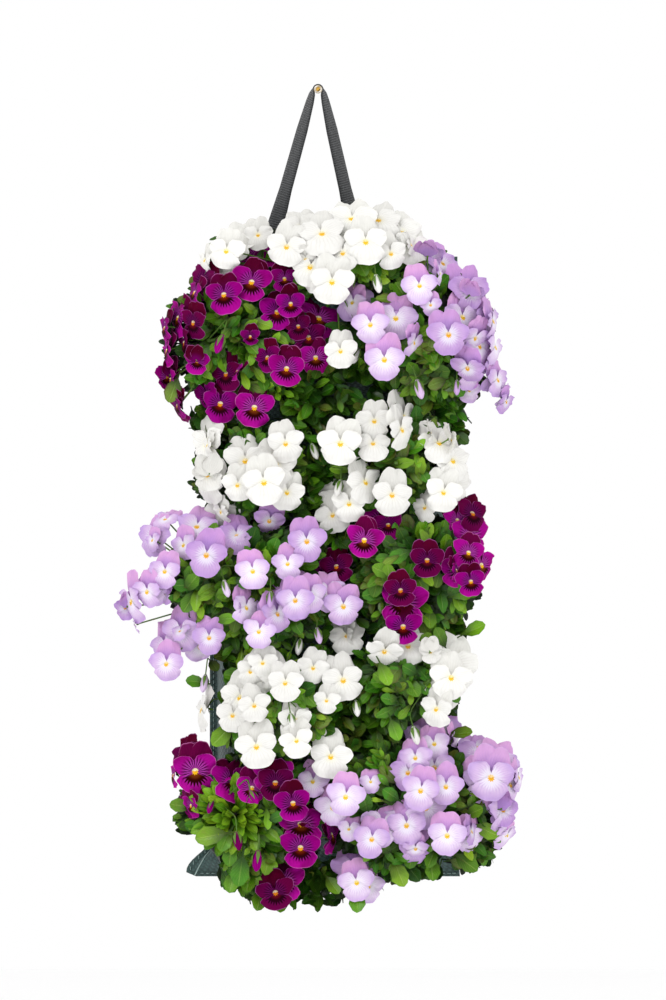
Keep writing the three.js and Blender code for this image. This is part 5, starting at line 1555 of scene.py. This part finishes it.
def makeNail():
    paint, shader = finish("nailSteel", Metallic=0.9, Roughness=0.35)
    place = objectPlace()
    stainAndGlint = noiseAt(place, 380.0)
    base = mix(ramp(stainAndGlint, 0.4, 0.7), hexColour("d9d3c8"), hexColour("b3a283"))
    spot = split(place)
    far = calc("SQRT", plus(times(spot[0], spot[0]), times(spot[2], spot[2])))
    # painted shade in the dimple of the head, with golden painted glints; the same noise also gives the head its
    # stains
    recessShadeAndGlint = mix(ramp(stainAndGlint, 0.42, 0.6), hexColour("33230f"), hexColour("d2a548"))
    base = mix(ramp(far, 0.0014, 0.0021, 1.0, 0.0), base, recessShadeAndGlint)
    dress(shader, base, ramp(stainAndGlint, 0.3, 0.7, 0.25, 0.5), stainAndGlint, 0.0001, 0.4)
    front, head, shank, neckAt = nail["front"], nail["head"], nail["shank"], nail["front"] + nail["thick"]
    # radius and depth, from the dimple over the head and down the shank
    profile = [*[(r, front + y) for r, y in nail["face"]], *[(head, front + y) for y in nail["rim"]],
               (head - nail["bevel"], neckAt), (shank, neckAt + nail["step"]), (shank, 0), (shank, pouch["wall"]),
               (0, pouch["wall"])]
    sheaf = newSheaf()
    addGrid(sheaf, [[Vector((r * math.cos(a), y, r * math.sin(a))) for a in circle(nail["sides"])]
                    for r, y in profile], around=True)
    settle(makePiece("nail", sheaf, paint), "nail_metal", "hanging_nail")
    print("nail head:", 2 * head, "mm across")


# the compost inside: a body just inside the cloth, with crumbs on its top
crumbs = {"top": -166, "foot": -614, "count": 200, "size": (3, 8), "across": (-72, 96), "inFrom": 10, "behind": 2.4,
          "back": 10.4, "levels": 24, "columns": 22, "stemGap": 8, "gap": 1.5, "seed": 5,
          "rings": 4, "sides": 6, "flat": 0.7, "rough": 0.25, "frontIn": 6, "backTo": 8, "sunk": 0.1}


def soilGrid():
    grid = []
    for i in range(crumbs["levels"] + 1):
        up = crumbs["top"] + (crumbs["foot"] - crumbs["top"]) * i / crumbs["levels"]
        left, right = max(leftEdge(up), pouch["left"] - 3) + crumbs["inFrom"], rightEdge(up) - crumbs["inFrom"]
        spots = [left + (right - left) * (0.5 - 0.5 * math.cos(math.pi * k / crumbs["columns"]))
                 for k in range(crumbs["columns"] + 1)]
        ring = [Vector((x, min(frontAt(x, up) + crumbs["behind"], crumbs["back"] - 0.5), up)) for x in spots]
        grid.append(ring + [Vector((x, crumbs["back"], up)) for x in reversed(spots)])
    lid, base = (sum(ring, Vector()) / len(ring) for ring in (grid[0], grid[-1]))
    return [[lid] * len(grid[0]), *grid, [base] * len(grid[0])]


def makeSoilPaint():
    paint, shader = finish("compost", Roughness=0.95, Specular_IOR_Level=0.1)
    place = objectPlace()
    lumps, fine = noiseAt(place, 120.0, 6.0), noiseAt(place, 600.0)
    base = mix(ramp(lumps, 0.35, 0.65), hexColour("1d130d"), hexColour("4a3424"))
    base = tint(base, ramp(fine, 0.66, 0.74, 0.0, 0.8), "8a7458")
    dress(shader, base, None, plus(lumps, times(fine, 0.4)), 0.002, 1.0)
    return paint


# one lump a metre across, sized by its place
def crumbShape(paint):
    sheaf = newSheaf()
    flat, radius, grid = crumbs["flat"], 0.5 / mm, []
    for i in range(crumbs["rings"] + 1):
        lift = math.pi * i / crumbs["rings"]
        grid.append([Vector((math.sin(lift) * math.cos(a), math.sin(lift) * math.sin(a), -flat * math.cos(lift)))
                     * radius * (1 + crumbs["rough"] * math.sin(3 * a + 2 * i)) for a in circle(crumbs["sides"])])
    addGrid(sheaf, grid, around=True)
    return makePiece("crumb", sheaf, paint, smooth=False)


def makeCompost():
    paint = makeSoilPaint()
    shape = crumbShape(paint)
    tree, sockets = repeatTree("crumbsOnCompost", [shape], paint, 90, crumbs["seed"])
    places = []
    necks = [coreOf(plant)[1].x for plant in plants if plant.get("mouth")]
    (least, most), (low, high) = crumbs["across"], crumbs["size"]
    while len(places) < crumbs["count"]:
        x, deep, size, tone = least + (most - least) * draw(), draw(), draw(), draw()
        front = frontAt(x, crumbs["top"]) + crumbs["frontIn"]
        y = front + (crumbs["backTo"] - front) * deep
        if any(math.hypot(x - stem, y - neck["middle"]) < crumbs["stemGap"] for stem in necks):
            continue
        size = (low + (high - low) * size * size) * mm
        places.append({"at": Vector((x, y, crumbs["top"] + crumbs["sunk"] / mm * size)), "heading": (0, 0, 6 * tone),
                       "size": size, "tone": tone})
    piece = spreadPieces("compost_crumbs", places, tree, sockets)
    pressToWall(piece, crumbs["gap"])
    soil = newSheaf()
    addGrid(soil, soilGrid(), around=True)
    joinPieces(piece, makePiece("soilBody", soil, paint))
    bpy.data.objects.remove(shape)
    settle(piece, "compost", "compost")
    print("crumbs:", len(places))


setStage()
makePouch()
makeStrap()
makeNail()
makeCompost()
makeBlooms()
makeFoliage()
makeStitches()

bpy.context.view_layer.update()
